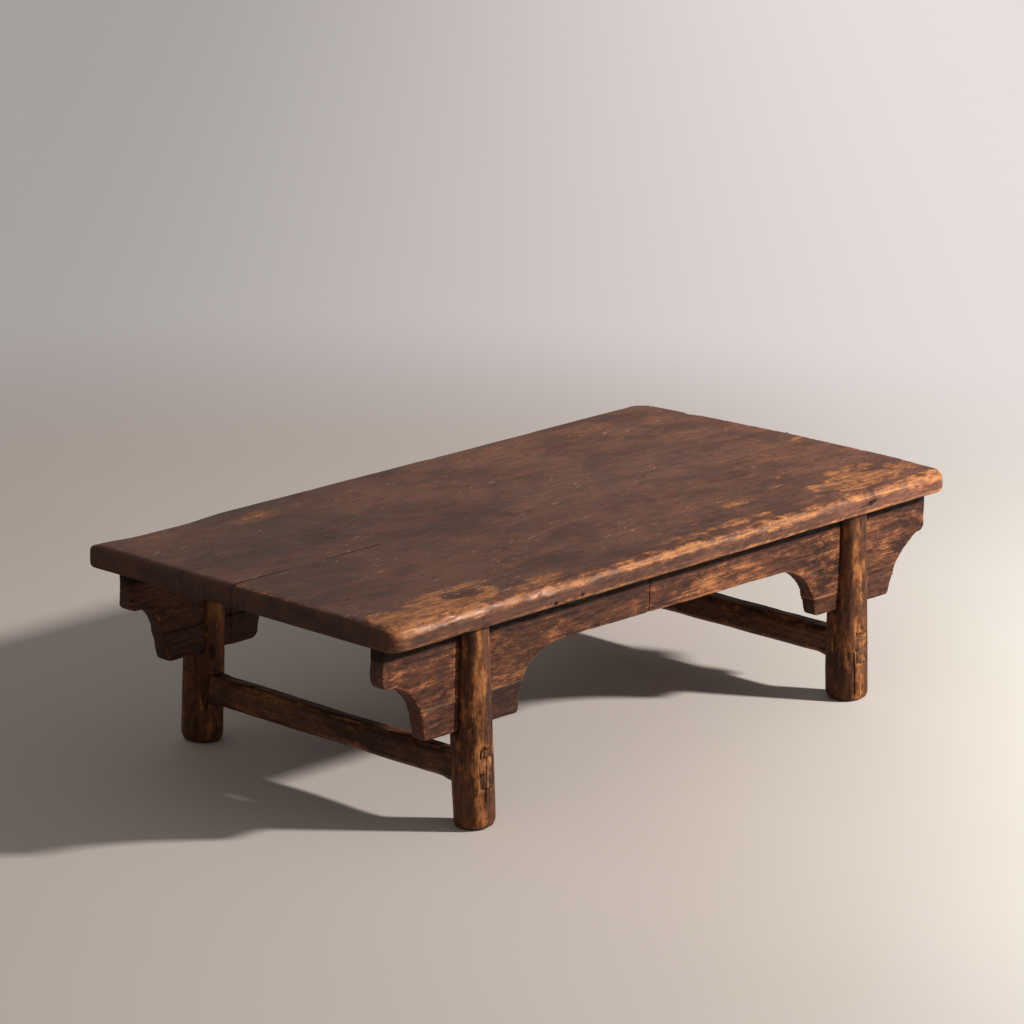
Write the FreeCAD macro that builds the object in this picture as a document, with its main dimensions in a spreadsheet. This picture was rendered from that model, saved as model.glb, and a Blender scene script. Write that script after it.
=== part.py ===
import FreeCAD, Part
import math
import os
from FreeCAD import Placement, Rotation, Vector
from Sketcher import Constraint

# A low table: two boards on four round legs, which clasp shaped aprons in a slotted joint.
# Millimetres. X runs along the table, Y from front to back and Z up from the floor,
# with the origin under the middle of the top.

doc = FreeCAD.newDocument("LowTable")

SIZES = (
    ("table_length", 900, "Length of the top"),
    ("table_width", 452, "Width of the top"),
    ("table_height", 245, "Height of the top's upper face"),
    ("board_thick", 27, "Thickness of the top boards"),
    ("seam_offset", 7.5, "Distance of the boards' seam behind the middle"),
    ("end_skew_seam", 1, "How far the right end falls short at the seam"),
    ("end_skew_back", 17, "How far the right end falls short at the back"),
    ("corner_front_left", 19, "Corner radius of the top in plan"),
    ("corner_front_right", 17, "Corner radius of the top in plan"),
    ("corner_back_left", 10, "Corner radius of the top in plan"),
    ("corner_back_right", 26, "Corner radius of the top in plan"),
    ("upper_round", 8, "Worn round of the top's upper edge"),
    ("under_round", 6, "Worn round of the top's lower edge"),
    ("leg_inset", 143, "Distance of the leg centres from the top's ends"),
    ("leg_dia", 46, "Leg diameter"),
    ("leg_splay", 9, "How far the foot stands out beyond the leg's top"),
    ("leg_top_out", 3, "How far the leg's top stands out from the apron's middle"),
    ("foot_round", 7, "Worn round of the foot"),
    ("foot_round_share", 0.293, "Where the round's two bevels meet, as a share of it"),
    ("foot_dip", 2, "How far the foot is drawn below the floor before it is levelled"),
    ("tenon_width", 20, "Width of the leg's top tenons, along X"),
    ("tenon_thick", 7, "Thickness of the leg's top tenons"),
    ("tenon_length", 14, "Length of the leg's top tenons"),
    ("end_gap", 1, "Free depth beyond a tenon, dowel or pin"),
    ("fit_gap", 0.1, "Play on each side of a joint"),
    ("apron_thick", 20, "Thickness of the aprons and spandrels"),
    ("apron_setback", 24.6, "Apron's outer face behind the top's long edge"),
    ("apron_end_in", 10.5, "Apron's end short of the top's end"),
    ("back_end_in", 8.5, "How much shorter the back apron is at the left"),
    ("apron_depth_left", 46, "Height of the apron at the left end of the arch"),
    ("apron_depth_right", 49, "Height of the apron at the right end of the arch"),
    ("joint_offset", 34, "Distance of the front apron's butt joint left of the middle"),
    ("horn_depth_left", 45, "Height of the apron's horn at the left end"),
    ("horn_depth_right", 49, "Height of the apron's horn at the right end"),
    ("horn_round", 9, "Round of the horn's lower corner"),
    ("cove_run_left", 37, "Length of the front cove under the left horn"),
    ("cove_run_right", 43, "Length of the front cove under the right horn"),
    ("cove_run_back", 25, "Length of the coves under the back horns"),
    ("cove_bow", 5, "How far a cove is hollowed behind a straight line"),
    ("seam_drop_left", 78, "Depth of the apron board at the left legs"),
    ("seam_drop_right", 89.5, "Depth of the apron board at the right legs"),
    ("spandrel_drop", 112, "Spandrel's lower edge below the top"),
    ("spandrel_out", 77.5, "Spandrel's reach from the leg's centre to the end"),
    ("spandrel_in_left", 73.5, "Front left spandrel's reach from its leg to the middle"),
    ("spandrel_in_right", 63.5, "Front right spandrel's reach from its leg to the middle"),
    ("spandrel_in_back", 68, "Back spandrels' reach from their legs to the middle"),
    ("arch_run_left", 60, "Length of the arch's curve at the left"),
    ("arch_run_right", 60, "Length of the arch's curve at the right"),
    ("toe_slant_out", 7, "Slant of the spandrel's outer side"),
    ("toe_slant_in", 5.5, "Slant of the spandrel's inner side"),
    ("toe_round_front", 5, "Round of the front spandrels' lower corners"),
    ("toe_round_back", 9, "Round of the back spandrels' lower corners"),
    ("housing_depth", 2, "Depth of the housings that the leg's cheeks sit in"),
    ("housing_gap", 0.6, "Gap between the leg and each side of its housing"),
    ("key_length", 60, "Length of the loose tenon in the front apron"),
    ("key_height", 22, "Height of the loose tenon"),
    ("key_thick", 6, "Thickness of the loose tenon"),
    ("stretcher_thick", 26, "Thickness of the end stretchers"),
    ("stretcher_height", 34, "Height of the end stretchers"),
    ("stretcher_rise_share", 0.58, "Height of its middle, as a share of the spandrels'"),
    ("stretcher_round", 9, "Round of the stretcher's long edges"),
    ("through_thick", 18, "Thickness of the stretcher's through tenon"),
    ("wedge_thick", 3, "Thickness of a wedge at its head"),
    ("wedge_tip", 0.8, "Thickness of a wedge at its tip"),
    ("wedge_length", 28, "Length of a wedge"),
    ("batten_line", 200, "Distance of the battens from the middle, along X"),
    ("batten_width", 44, "Width of a batten"),
    ("batten_depth", 16, "Depth of a batten below the boards"),
    ("batten_round", 4, "Round of a batten's lower edges"),
    ("dovetail_neck", 26, "Dovetail's width at the boards' underside"),
    ("dovetail_head", 32, "Dovetail's width at its top"),
    ("dovetail_rise", 9, "Height of the dovetail in the boards"),
    ("dowel_dia", 10, "Diameter of the seam dowels"),
    ("dowel_length", 60, "Length of the seam dowels"),
    ("dowel_inner", 110, "Distance of the inner dowels from the middle"),
    ("dowel_outer", 330, "Distance of the outer dowels from the middle"),
    ("pin_side", 5, "Thickness of the square apron pins"),
    ("pin_length", 28, "Length of the apron pins"),
    ("pin_end_in", 43, "Distance of the end pins from the apron's ends"),
    ("pin_mid", 140, "Distance of the middle pins from the middle"),
    ("pin_joint_out", 45, "Distance of a pin from the apron's butt joint"),
    ("overrun", 5, "How far a cut reaches past the face that it opens"),
    ("match_gap", 0.01, "How closely two places must agree to count as the same"),
)

sheet = doc.addObject("Spreadsheet::Sheet", "Sizes")
for row, (alias, value, note) in enumerate(SIZES, 1):
    sheet.set(f"A{row}", note)
    sheet.set(f"B{row}", str(value))
    sheet.setAlias(f"B{row}", alias)
doc.recompute()

# Heights and places that several pieces share, as formulas of the sheet
UNDER = "(Sizes.table_height - Sizes.board_thick)"
APRON_FACE = "(Sizes.table_width / 2 - Sizes.apron_setback)"
APRON_MID = f"({APRON_FACE} - Sizes.apron_thick / 2)"
APRON_INNER = f"({APRON_FACE} - Sizes.apron_thick)"
WEB_HALF = "(Sizes.apron_thick / 2 - Sizes.housing_depth)"
SLOT_HALF = f"({WEB_HALF} + Sizes.fit_gap)"
SPANDREL_LOW = f"({UNDER} - Sizes.spandrel_drop)"
STRETCHER_LOW = f"({SPANDREL_LOW} * Sizes.stretcher_rise_share - Sizes.stretcher_height / 2)"
STRETCHER_TOP = f"({STRETCHER_LOW} + Sizes.stretcher_height)"
LEG_LINE = "(Sizes.table_length / 2 - Sizes.leg_inset)"
LEAN = f"atan(Sizes.leg_splay / {UNDER})"
TOE_OUT = f"({LEG_LINE} + Sizes.spandrel_out)"
FOOT_OUT = "(Sizes.leg_top_out + Sizes.leg_splay)"
DOWEL_REACH = "(Sizes.dowel_length / 2 + Sizes.end_gap)"
ENDS = {"left": "-1", "right": "1"}
SIDES = {"front": "-1", "back": "1"}

subparts = []


def bind(thing, formulas):
    """Ties properties of a document object to formulas of the sheet."""
    for path, formula in formulas.items():
        thing.setExpression(path, formula)


def keep(piece, label):
    """Marks a document object as a finished sub-part."""
    piece.Label = label
    subparts.append(piece)
    return piece


def new_body(label, x="0", y="0", z="0", turned=False):
    """An empty body at a place given by formulas, turned half round if asked."""
    body = doc.addObject("PartDesign::Body", label)
    body.Placement = Placement(Vector(), Rotation(Vector(0, 0, 1), 180 if turned else 0))
    bind(body, {f"Placement.Base.{axis}": place for axis, place in zip("xyz", (x, y, z))})
    return keep(body, label)


def fit_box(made, x, y, z):
    """Ties a box to its place. x, y and z are (low, high) pairs of formulas."""
    for axis, length, (low, high) in zip("xyz", ("Length", "Width", "Height"), (x, y, z)):
        bind(made, {length: f"({high}) - ({low})", f"Placement.Base.{axis}": low})
    return made


def block(body, kind, name, x, y, z):
    """A box added to or cut from a body, given like those of fit_box."""
    return fit_box(body.newObject(f"PartDesign::{kind}Box", name), x, y, z)


def centred(half, middle="0"):
    """The (low, high) pair of formulas of a span about a middle."""
    return f"{middle} - {half}", f"{middle} + {half}"


def fit_dowel(made, x, y, z):
    """Ties a cylinder along Y to the place of a seam dowel. y is a (low, high) pair."""
    made.Placement = Placement(Vector(), Rotation(Vector(1, 0, 0), -90))
    bind(made, {f"Placement.Base.{axis}": place for axis, place in zip("xyz", (x, y[0], z))})
    bind(made, {"Radius": "Sizes.dowel_dia / 2", "Height": f"({y[1]}) - ({y[0]})"})
    return made


def leaning(body, shape, name, span, radii, side="-1", apron_line="0"):
    """A round shape about a leg's leaning axis. span runs along the axis, up from the floor.

    shape is the feature's kind and radii its radii by name. side is the sign of the way out
    along Y, and apron_line is where the apron's middle plane lies in the body's own frame."""
    made = body.newObject(f"PartDesign::{shape}", name)
    made.Placement = Placement(Vector(), Rotation(Vector(float(side), 0, 0), 1))
    low, high = span
    bind(made, {
        "Placement.Rotation.Angle": LEAN,
        "Placement.Base.y": f"{apron_line} + {side} * ({FOOT_OUT} - ({low}) * sin({LEAN}))",
        "Placement.Base.z": f"({low}) * cos({LEAN})",
        "Height": f"({high}) - ({low})", **radii,
    })
    return made


def leg_stem(body, kind, name, side="-1", apron_line="0", extra="0"):
    """A leg above its foot's round, to beyond its tenons. extra is added to the radius."""
    high = f"({UNDER} + Sizes.tenon_length + Sizes.overrun) / cos({LEAN})"
    return leaning(body, f"{kind}Cylinder", name, ("Sizes.foot_round", high),
                   {"Radius": f"Sizes.leg_dia / 2 + {extra}"}, side, apron_line)


def evaluate(formula):
    """A formula's value with the sizes as they are."""
    return float(sheet.evalExpression(formula))


def outline(body, name, plane, corners):
    """A closed sketch through corners, each (across, up, centre).

    The first two are formulas of the corner's place. centre is None where a straight
    line goes on to the next corner, or the formulas of the centre of an arc to it."""
    sketch = body.newObject("Sketcher::SketchObject", name)
    origin = next(f for f in body.Origin.OriginFeatures if f.Role == plane)
    sketch.AttachmentSupport = [(origin, "")]
    sketch.MapMode = "FlatFace"
    places = [Vector(evaluate(across), evaluate(up), 0) for across, up, _ in corners]
    # For each stretch, the numbers of its own two ends in the order of the corners
    ends = []
    for number, (_, _, centre) in enumerate(corners):
        start, stop = places[number], places[(number + 1) % len(corners)]
        if centre is None:
            sketch.addGeometry(Part.LineSegment(start, stop))
            ends.append((1, 2))
            continue
        middle = Vector(evaluate(centre[0]), evaluate(centre[1]), 0)
        turns = [math.atan2(p.y - middle.y, p.x - middle.x) for p in (start, stop)]
        forward = (turns[1] - turns[0]) % (2 * math.pi) < math.pi
        circle = Part.Circle(middle, Vector(0, 0, 1), start.distanceToPoint(middle))
        sketch.addGeometry(Part.ArcOfCircle(circle, *(turns if forward else turns[::-1])))
        ends.append((1, 2) if forward else (2, 1))
    for number, (across, up, centre) in enumerate(corners):
        after = (number + 1) % len(corners)
        (first, last), place = ends[number], places[number]
        sketch.addConstraint(Constraint("Coincident", number, last, after, ends[after][0]))
        for axis, value, formula in (("X", place.x, across), ("Y", place.y, up)):
            made = sketch.addConstraint(Constraint(f"Distance{axis}", -1, 1, number, first, value))
            sketch.renameConstraint(made, f"corner_{number}_{axis.lower()}")
            sketch.setExpression(f"Constraints.corner_{number}_{axis.lower()}", formula)
        if centre is not None:
            middle = Vector(evaluate(centre[0]), evaluate(centre[1]), 0)
            made = sketch.addConstraint(
                Constraint("Radius", number, place.distanceToPoint(middle)))
            sketch.renameConstraint(made, f"radius_{number}")
            bow = f"sqrt(pow(({across}) - ({centre[0]}); 2) + pow(({up}) - ({centre[1]}); 2))"
            sketch.setExpression(f"Constraints.radius_{number}", bow)
    return sketch


def pad(body, name, sketch, length, midplane=False):
    """A solid drawn up from a sketch, or to both sides of it."""
    made = body.newObject("PartDesign::Pad", name)
    made.Profile = sketch
    made.Midplane = midplane
    made.setExpression("Length", length)
    return made


def rounded(body, name, wanted, radius):
    """Rounds the edges that wanted(edge) picks on the body's latest feature."""
    doc.recompute()
    base = body.Tip
    names = [f"Edge{n}" for n, edge in enumerate(base.Shape.Edges, 1) if wanted(edge)]
    made = body.newObject("PartDesign::Fillet", name)
    made.Base = (base, names)
    made.setExpression("Radius", radius)
    doc.recompute()
    return made


def near(value, target):
    """True if two lengths agree."""
    return abs(value - target) < evaluate("Sizes.match_gap")


def all_at(edge, axis, target):
    """True if both ends and the middle of an edge lie at target along an axis."""
    spots = [vertex.Point for vertex in edge.Vertexes] + [edge.CenterOfMass]
    return all(near(getattr(spot, axis), target) for spot in spots)


def runs_along_y(edge):
    """True if an edge is a straight line along Y."""
    return near(edge.BoundBox.XLength, 0) and near(edge.BoundBox.ZLength, 0)


# Places that the boards share with the aprons and legs

def apron_end(side, end):
    """How far an apron reaches from the middle, which follows the top's end above it."""
    short = {("back", "left"): " - Sizes.back_end_in", ("back", "right"): " - Sizes.end_skew_back"}
    return f"(Sizes.table_length / 2 - Sizes.apron_end_in{short.get((side, end), '')})"


def pin_lines(side):
    """Where the pins of an apron stand along X, as formulas."""
    lines = []
    for end, way in ENDS.items():
        tip = f"{way} * ({apron_end(side, end)} - Sizes.pin_end_in)"
        lines += [tip, f"{way} * Sizes.pin_mid"]
        if side == "front":
            lines.append(f"{way} * Sizes.pin_joint_out - Sizes.joint_offset")
    return lines


def tenon_span(face):
    """The leg's outer or inner tenon across the apron's middle plane, outwards below zero."""
    close, far = SLOT_HALF, f"({SLOT_HALF} + Sizes.tenon_thick)"
    return (f"-{far}", f"-{close}") if face == "outer" else (close, far)


# The boards of the top

def dovetail(body, kind, name, reach, line):
    """A dovetail along Y over reach, on the line of a batten, rising from the underside."""
    made = body.newObject(f"PartDesign::{kind}Wedge", name)
    made.Placement = Placement(Vector(), Rotation(Vector(1, 0, 0), 90))
    bind(made, {
        "Placement.Base.x": line,
        "Xmin": "-Sizes.dovetail_neck / 2", "Xmax": "Sizes.dovetail_neck / 2",
        "X2min": "-Sizes.dovetail_head / 2", "X2max": "Sizes.dovetail_head / 2",
        "Ymin": "0", "Ymax": "Sizes.dovetail_rise",
        "Zmin": f"-({reach[1]})", "Zmax": f"-({reach[0]})",
        "Z2min": f"-({reach[1]})", "Z2max": f"-({reach[0]})",
    })
    return made


def board_cuts(body, side):
    """The blind mortises, dovetail grooves and holes in a board's underside and seam."""
    sign = SIDES[side]
    for end, way in ENDS.items():
        for face in ("outer", "inner"):
            spots = [f"{sign} * {APRON_MID} - {sign} * ({edge})" for edge in tenon_span(face)]
            across = spots if side == "front" else spots[::-1]
            block(body, "Subtractive", f"mortise_{side}_{end}_{face}",
                  centred("(Sizes.tenon_width / 2 + Sizes.fit_gap)", f"{way} * {LEG_LINE}"),
                  (f"{across[0]} - Sizes.fit_gap", f"{across[1]} + Sizes.fit_gap"),
                  ("-Sizes.overrun", "Sizes.tenon_length + Sizes.end_gap"))
        inner = f"{sign} * {APRON_INNER}"
        reach = (inner, "Sizes.seam_offset + Sizes.overrun")
        if side == "back":
            reach = ("Sizes.seam_offset - Sizes.overrun", inner)
        dovetail(body, "Subtractive", f"groove_{side}_{end}", reach, f"{way} * Sizes.batten_line")
        for line in ("dowel_inner", "dowel_outer"):
            hole = body.newObject("PartDesign::SubtractiveCylinder", f"{line}_{side}_{end}")
            fit_dowel(hole, f"{way} * Sizes.{line}", centred(DOWEL_REACH, "Sizes.seam_offset"),
                      "Sizes.board_thick / 2")
    for number, line in enumerate(pin_lines(side)):
        block(body, "Subtractive", f"pin_hole_{side}_{number}",
              centred("Sizes.pin_side / 2", line),
              centred("Sizes.pin_side / 2", f"{sign} * {APRON_MID}"),
              ("-Sizes.overrun", "Sizes.pin_length / 2 + Sizes.end_gap"))


def top_board(side):
    """One board of the top, drawn from its underside."""
    body = new_body(f"top_board_{side}", z=UNDER)
    sign = SIDES[side]
    edge_y = f"{sign} * Sizes.table_width / 2"
    left, right = f"Sizes.corner_{side}_left", f"Sizes.corner_{side}_right"
    end_x = "Sizes.table_length / 2"
    right_x = end_x if side == "front" else f"({end_x} - Sizes.end_skew_back)"
    left_in, right_in = f"-{end_x} + {left}", f"{right_x} - {right}"
    left_y, right_y = (f"{edge_y} - {sign} * {radius}" for radius in (left, right))
    sketch = outline(body, f"plan_{side}", "XY_Plane", [
        (f"-{end_x}", "Sizes.seam_offset", None),
        (f"-{end_x}", left_y, (left_in, left_y)),
        (left_in, edge_y, None),
        (right_in, edge_y, (right_in, right_y)),
        (right_x, right_y, None),
        (f"{end_x} - Sizes.end_skew_seam", "Sizes.seam_offset", None),
    ])
    pad(body, f"board_{side}", sketch, "Sizes.board_thick")
    seam = evaluate("Sizes.seam_offset")
    for name, height in (("upper", "Sizes.board_thick"), ("under", "0")):
        level = evaluate(height)
        rounded(body, f"{name}_edge_{side}",
                lambda e: all_at(e, "z", level) and not all_at(e, "y", seam),
                f"Sizes.{name}_round")
    board_cuts(body, side)
    return body


# The aprons and spandrels, drawn from the front about their own middle plane

def toe_in(side, end):
    """Where a spandrel begins, counted from the middle."""
    return f"({LEG_LINE} - Sizes.spandrel_in_{end if side == 'front' else side})"


def level_arc(top, foot, run):
    """The height of the middle of an arc that leaves top level and meets foot after run."""
    return f"({top} - (pow({run}; 2) + pow({top} - {foot}; 2)) / (2 * ({top} - {foot})))"


def hollow(run, drop, bow):
    """Across and up from an arc's upper, outer end to its middle.

    The arc falls by drop over run, towards the middle of the apron, and bow is the depth
    to which it hollows the wood behind the straight line between its ends."""
    chord = f"sqrt(pow({run}; 2) + pow({drop}; 2))"
    reach = f"((pow({chord}; 2) / 4 - pow({bow}; 2)) / (2 * {bow}))"
    return (f"({run}) / 2 - {reach} * ({drop}) / {chord}",
            f"({drop}) / 2 + {reach} * ({run}) / {chord}")


def wing(side, end):
    """An end's heights and places along the apron, as formulas. Places count outwards."""
    seam = f"({UNDER} - Sizes.seam_drop_{end})"
    low = f"({UNDER} - Sizes.apron_depth_{end})"
    horn = f"({UNDER} - Sizes.horn_depth_{end})"
    run = f"Sizes.cove_run_{end if side == 'front' else side}"
    inwards, down = hollow(run, f"({horn} - {seam})", "Sizes.cove_bow")
    return {
        "seam": seam, "low": low, "horn": horn,
        "cove_start": f"({TOE_OUT} + {run})",
        "cove_middle": (f"({TOE_OUT} + {run} - ({inwards}))", f"({horn} - ({down}))"),
        "arch_end": f"({toe_in(side, end)} - Sizes.arch_run_{end})",
        "arch_middle": level_arc(low, seam, f"Sizes.arch_run_{end}"),
    }


def wing_corners(side, end):
    """The outline of an apron's end, from the end's top corner to the end of the arch."""
    way, spots = ENDS[end], wing(side, end)
    tip = f"{way} * {apron_end(side, end)}"
    tip_in = f"{way} * ({apron_end(side, end)} - Sizes.horn_round)"
    horn_up = f"{spots['horn']} + Sizes.horn_round"
    cove, arch = f"{way} * {spots['cove_start']}", f"{way} * {spots['arch_end']}"
    across, up = spots["cove_middle"]
    return [
        (tip, UNDER, None),
        (tip, horn_up, (tip_in, horn_up)),
        (tip_in, spots["horn"], None),
        (cove, spots["horn"], (f"{way} * {across}", up)),
        (f"{way} * {TOE_OUT}", spots["seam"], None),
        (f"{way} * {toe_in(side, end)}", spots["seam"], (arch, spots["arch_middle"])),
        (arch, spots["low"], None),
    ]


def mirrored_order(corners):
    """The same outline walked the other way, each arc still between the same corners."""
    centres = [centre for _, _, centre in corners]
    turned = [None] + centres[:-1]
    return [(x, z, centre) for (x, z, _), centre in zip(corners, turned)][::-1]


def joint_low():
    """The height of the front apron's lower edge at the butt joint."""
    left, right = wing("front", "left"), wing("front", "right")
    share = (f"({left['arch_end']} - Sizes.joint_offset)"
             f" / ({left['arch_end']} + {right['arch_end']})")
    return f"{left['low']} + ({right['low']} - {left['low']}) * {share}"


KEY_LEVEL = f"({UNDER} + {joint_low()}) / 2"


def housings(body, end, low):
    """The shallow housings on both faces in which the leg's cheeks sit."""
    span = centred("(Sizes.leg_dia / 2 + Sizes.housing_gap)", f"{ENDS[end]} * {LEG_LINE}")
    for face, sides in (("outer", ("-Sizes.apron_thick", f"-{WEB_HALF}")),
                        ("inner", (WEB_HALF, "Sizes.apron_thick"))):
        block(body, "Subtractive", f"{body.Label}_{end}_{face}", span, sides,
              (f"{low} - Sizes.overrun", f"{UNDER} + Sizes.overrun"))


def apron(side, label, corners, ends):
    """An apron board with its housings, pin holes and, in front, the loose tenon's mortise."""
    body = new_body(label, y=f"{SIDES[side]} * {APRON_MID}")
    pad(body, f"{label}_board", outline(body, f"{label}_outline", "XZ_Plane", corners),
        "Sizes.apron_thick", midplane=True)
    for end in ends:
        housings(body, end, wing(side, end)["seam"])
    butt_line = evaluate("-Sizes.joint_offset")
    for number, line in enumerate(pin_lines(side)):
        if side == "front" and (evaluate(line) < butt_line) != (ends == ["left"]):
            continue
        block(body, "Subtractive", f"{label}_pin_{number}",
              centred("Sizes.pin_side / 2", line), centred("Sizes.pin_side / 2"),
              (f"{UNDER} - Sizes.pin_length / 2 - Sizes.end_gap", f"{UNDER} + Sizes.overrun"))
    if side == "front":
        reach = "(Sizes.key_length / 2 + Sizes.end_gap)"
        span = ("-Sizes.joint_offset - Sizes.overrun", f"-Sizes.joint_offset + {reach}")
        if ends == ["left"]:
            span = (f"-Sizes.joint_offset - {reach}", "-Sizes.joint_offset + Sizes.overrun")
        block(body, "Subtractive", f"{label}_mortise", span,
              centred("(Sizes.key_thick / 2 + Sizes.fit_gap)"),
              centred("(Sizes.key_height / 2 + Sizes.fit_gap)", KEY_LEVEL))
    return body


def spandrel(side, end):
    """The strip glued under an apron at a leg, which runs on through the leg's slot."""
    way, seam = ENDS[end], wing(side, end)["seam"]
    label = f"spandrel_{side}_{end}"
    body = new_body(label, y=f"{SIDES[side]} * {APRON_MID}")
    sketch = outline(body, f"{label}_outline", "XZ_Plane", [
        (f"{way} * {TOE_OUT}", seam, None),
        (f"{way} * ({TOE_OUT} - Sizes.toe_slant_out)", SPANDREL_LOW, None),
        (f"{way} * ({toe_in(side, end)} + Sizes.toe_slant_in)", SPANDREL_LOW, None),
        (f"{way} * {toe_in(side, end)}", seam, None),
    ])
    pad(body, f"{label}_block", sketch, "Sizes.apron_thick", midplane=True)
    level = evaluate(SPANDREL_LOW)
    rounded(body, f"{label}_toes", lambda e: all_at(e, "z", level) and runs_along_y(e),
            f"Sizes.toe_round_{side}")
    housings(body, end, SPANDREL_LOW)
    return body


# The legs and end stretchers

def leg(side, end):
    """A leg that leans in towards its slotted top. Its own +Y points under the table."""
    label = f"leg_{side}_{end}"
    body = new_body(label, x=f"{ENDS[end]} * {LEG_LINE}",
                    y=f"{SIDES[side]} * {APRON_MID}", turned=side == "back")
    leg_stem(body, "Additive", f"{label}_stem")
    # Two bevels round the foot, which is then levelled on the floor
    foot, bend = "Sizes.leg_dia / 2", "Sizes.foot_round * Sizes.foot_round_share"
    slope = "(1 / Sizes.foot_round_share - 1)"
    tip = f"{foot} - Sizes.foot_round - Sizes.foot_dip * {slope}"
    leaning(body, "AdditiveCone", f"{label}_upper_bevel", (bend, "Sizes.foot_round"),
            {"Radius1": f"{foot} - {bend}", "Radius2": foot})
    leaning(body, "AdditiveCone", f"{label}_lower_bevel", ("-Sizes.foot_dip", bend),
            {"Radius1": tip, "Radius2": f"{foot} - {bend}"})
    far = "Sizes.leg_dia"
    around = centred(far)
    block(body, "Subtractive", f"{label}_floor", around, around, (f"-{far}", "0"))
    # The two top tenons, with the slot between them and the stretcher's mortise
    above = (UNDER, f"{UNDER} + {far}")
    tenon_half = "Sizes.tenon_width / 2"
    outer, inner = tenon_span("outer")[0], tenon_span("inner")[1]
    for name, x, y in (("left", (f"-{far}", f"-{tenon_half}"), around),
                       ("right", (tenon_half, far), around),
                       ("outer", around, (f"-{far}", outer)),
                       ("inner", around, (inner, far))):
        block(body, "Subtractive", f"{label}_shoulder_{name}", x, y, above)
    block(body, "Subtractive", f"{label}_tip", around, around,
          (f"{UNDER} + Sizes.tenon_length", above[1]))
    block(body, "Subtractive", f"{label}_slot", around, centred(SLOT_HALF),
          (SPANDREL_LOW, above[1]))
    block(body, "Subtractive", f"{label}_mortise",
          centred("(Sizes.through_thick / 2 + Sizes.fit_gap)"), around,
          (STRETCHER_LOW, STRETCHER_TOP))
    return body


# Where a through tenon ends: flush with the outermost line of the leg at the stretcher
TENON_END = (f"({APRON_MID} + {FOOT_OUT} - Sizes.leg_splay * {STRETCHER_TOP} / {UNDER}"
             " + Sizes.leg_dia / 2)")


def wedge(thing, y_sign):
    """Shapes a wedge in a tenon's end, its head outwards. y_sign tells which leg it is in."""
    head, tip = "Sizes.wedge_thick / 2", "Sizes.wedge_tip / 2"
    low, high = (head, tip) if y_sign == "-1" else (tip, head)
    inner, outer = f"{y_sign} * ({TENON_END} - Sizes.wedge_length)", f"{y_sign} * {TENON_END}"
    bind(thing, {
        "Xmin": f"-{low}", "Xmax": low, "X2min": f"-{high}", "X2max": high,
        "Ymin": outer if y_sign == "-1" else inner, "Ymax": inner if y_sign == "-1" else outer,
        "Zmin": STRETCHER_LOW, "Zmax": STRETCHER_TOP,
        "Z2min": STRETCHER_LOW, "Z2max": STRETCHER_TOP,
    })


def stretcher(end):
    """An end rail, coped round both legs, with tenons that pass through them."""
    label = f"stretcher_{end}"
    body = new_body(label, x=f"{ENDS[end]} * {LEG_LINE}")
    height = (STRETCHER_LOW, STRETCHER_TOP)
    block(body, "Additive", f"{label}_rail", centred("Sizes.stretcher_thick / 2"),
          centred(f"({APRON_MID} + Sizes.leg_top_out)"), height)
    rounded(body, f"{label}_arrises", runs_along_y, "Sizes.stretcher_round")
    for side, way in SIDES.items():
        leg_stem(body, "Subtractive", f"{label}_cope_{side}", way, f"{way} * {APRON_MID}",
                 extra="Sizes.fit_gap")
    block(body, "Additive", f"{label}_tenons", centred("Sizes.through_thick / 2"),
          centred(TENON_END), height)
    for side, way in SIDES.items():
        wedge(body.newObject("PartDesign::SubtractiveWedge", f"{label}_kerf_{side}"), way)
    return body


# The battens under the boards

def batten(end):
    """A batten between the aprons, with the dovetail that it slides into the boards by."""
    label = f"batten_{end}"
    body = new_body(label, x=f"{ENDS[end]} * Sizes.batten_line", z=UNDER)
    reach = centred(f"({APRON_INNER} - Sizes.fit_gap)")
    block(body, "Additive", f"{label}_bar", centred("Sizes.batten_width / 2"), reach,
          ("-Sizes.batten_depth", "0"))
    level = -evaluate("Sizes.batten_depth")
    rounded(body, f"{label}_arrises", lambda e: all_at(e, "z", level) and runs_along_y(e),
            "Sizes.batten_round")
    dovetail(body, "Additive", f"{label}_dovetail", reach, "0")
    return body


# Small hidden pieces, each kind one group of separate solids

def group(label, members):
    """One sub-part that holds several like solids."""
    made = doc.addObject("Part::Compound", label)
    made.Links = members
    return keep(made, label)


for side in SIDES:
    top_board(side)
for end in ENDS:
    batten(end)
butt_corners = [("-Sizes.joint_offset", height, None) for height in (joint_low(), UNDER)]
for end in ENDS:
    apron("front", f"apron_front_{end}", [*wing_corners("front", end), *butt_corners], [end])
left, right = (wing_corners("back", end) for end in ENDS)
apron("back", "apron_back", [*left, *mirrored_order(right)], ["left", "right"])
for side in SIDES:
    for end in ENDS:
        spandrel(side, end)
        leg(side, end)
for end in ENDS:
    stretcher(end)

key = fit_box(doc.addObject("Part::Box", "key"),
              centred("Sizes.key_length / 2", "-Sizes.joint_offset"),
              centred("Sizes.key_thick / 2", f"-{APRON_MID}"),
              centred("Sizes.key_height / 2", KEY_LEVEL))
keep(key, "apron_joint_key")

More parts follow.
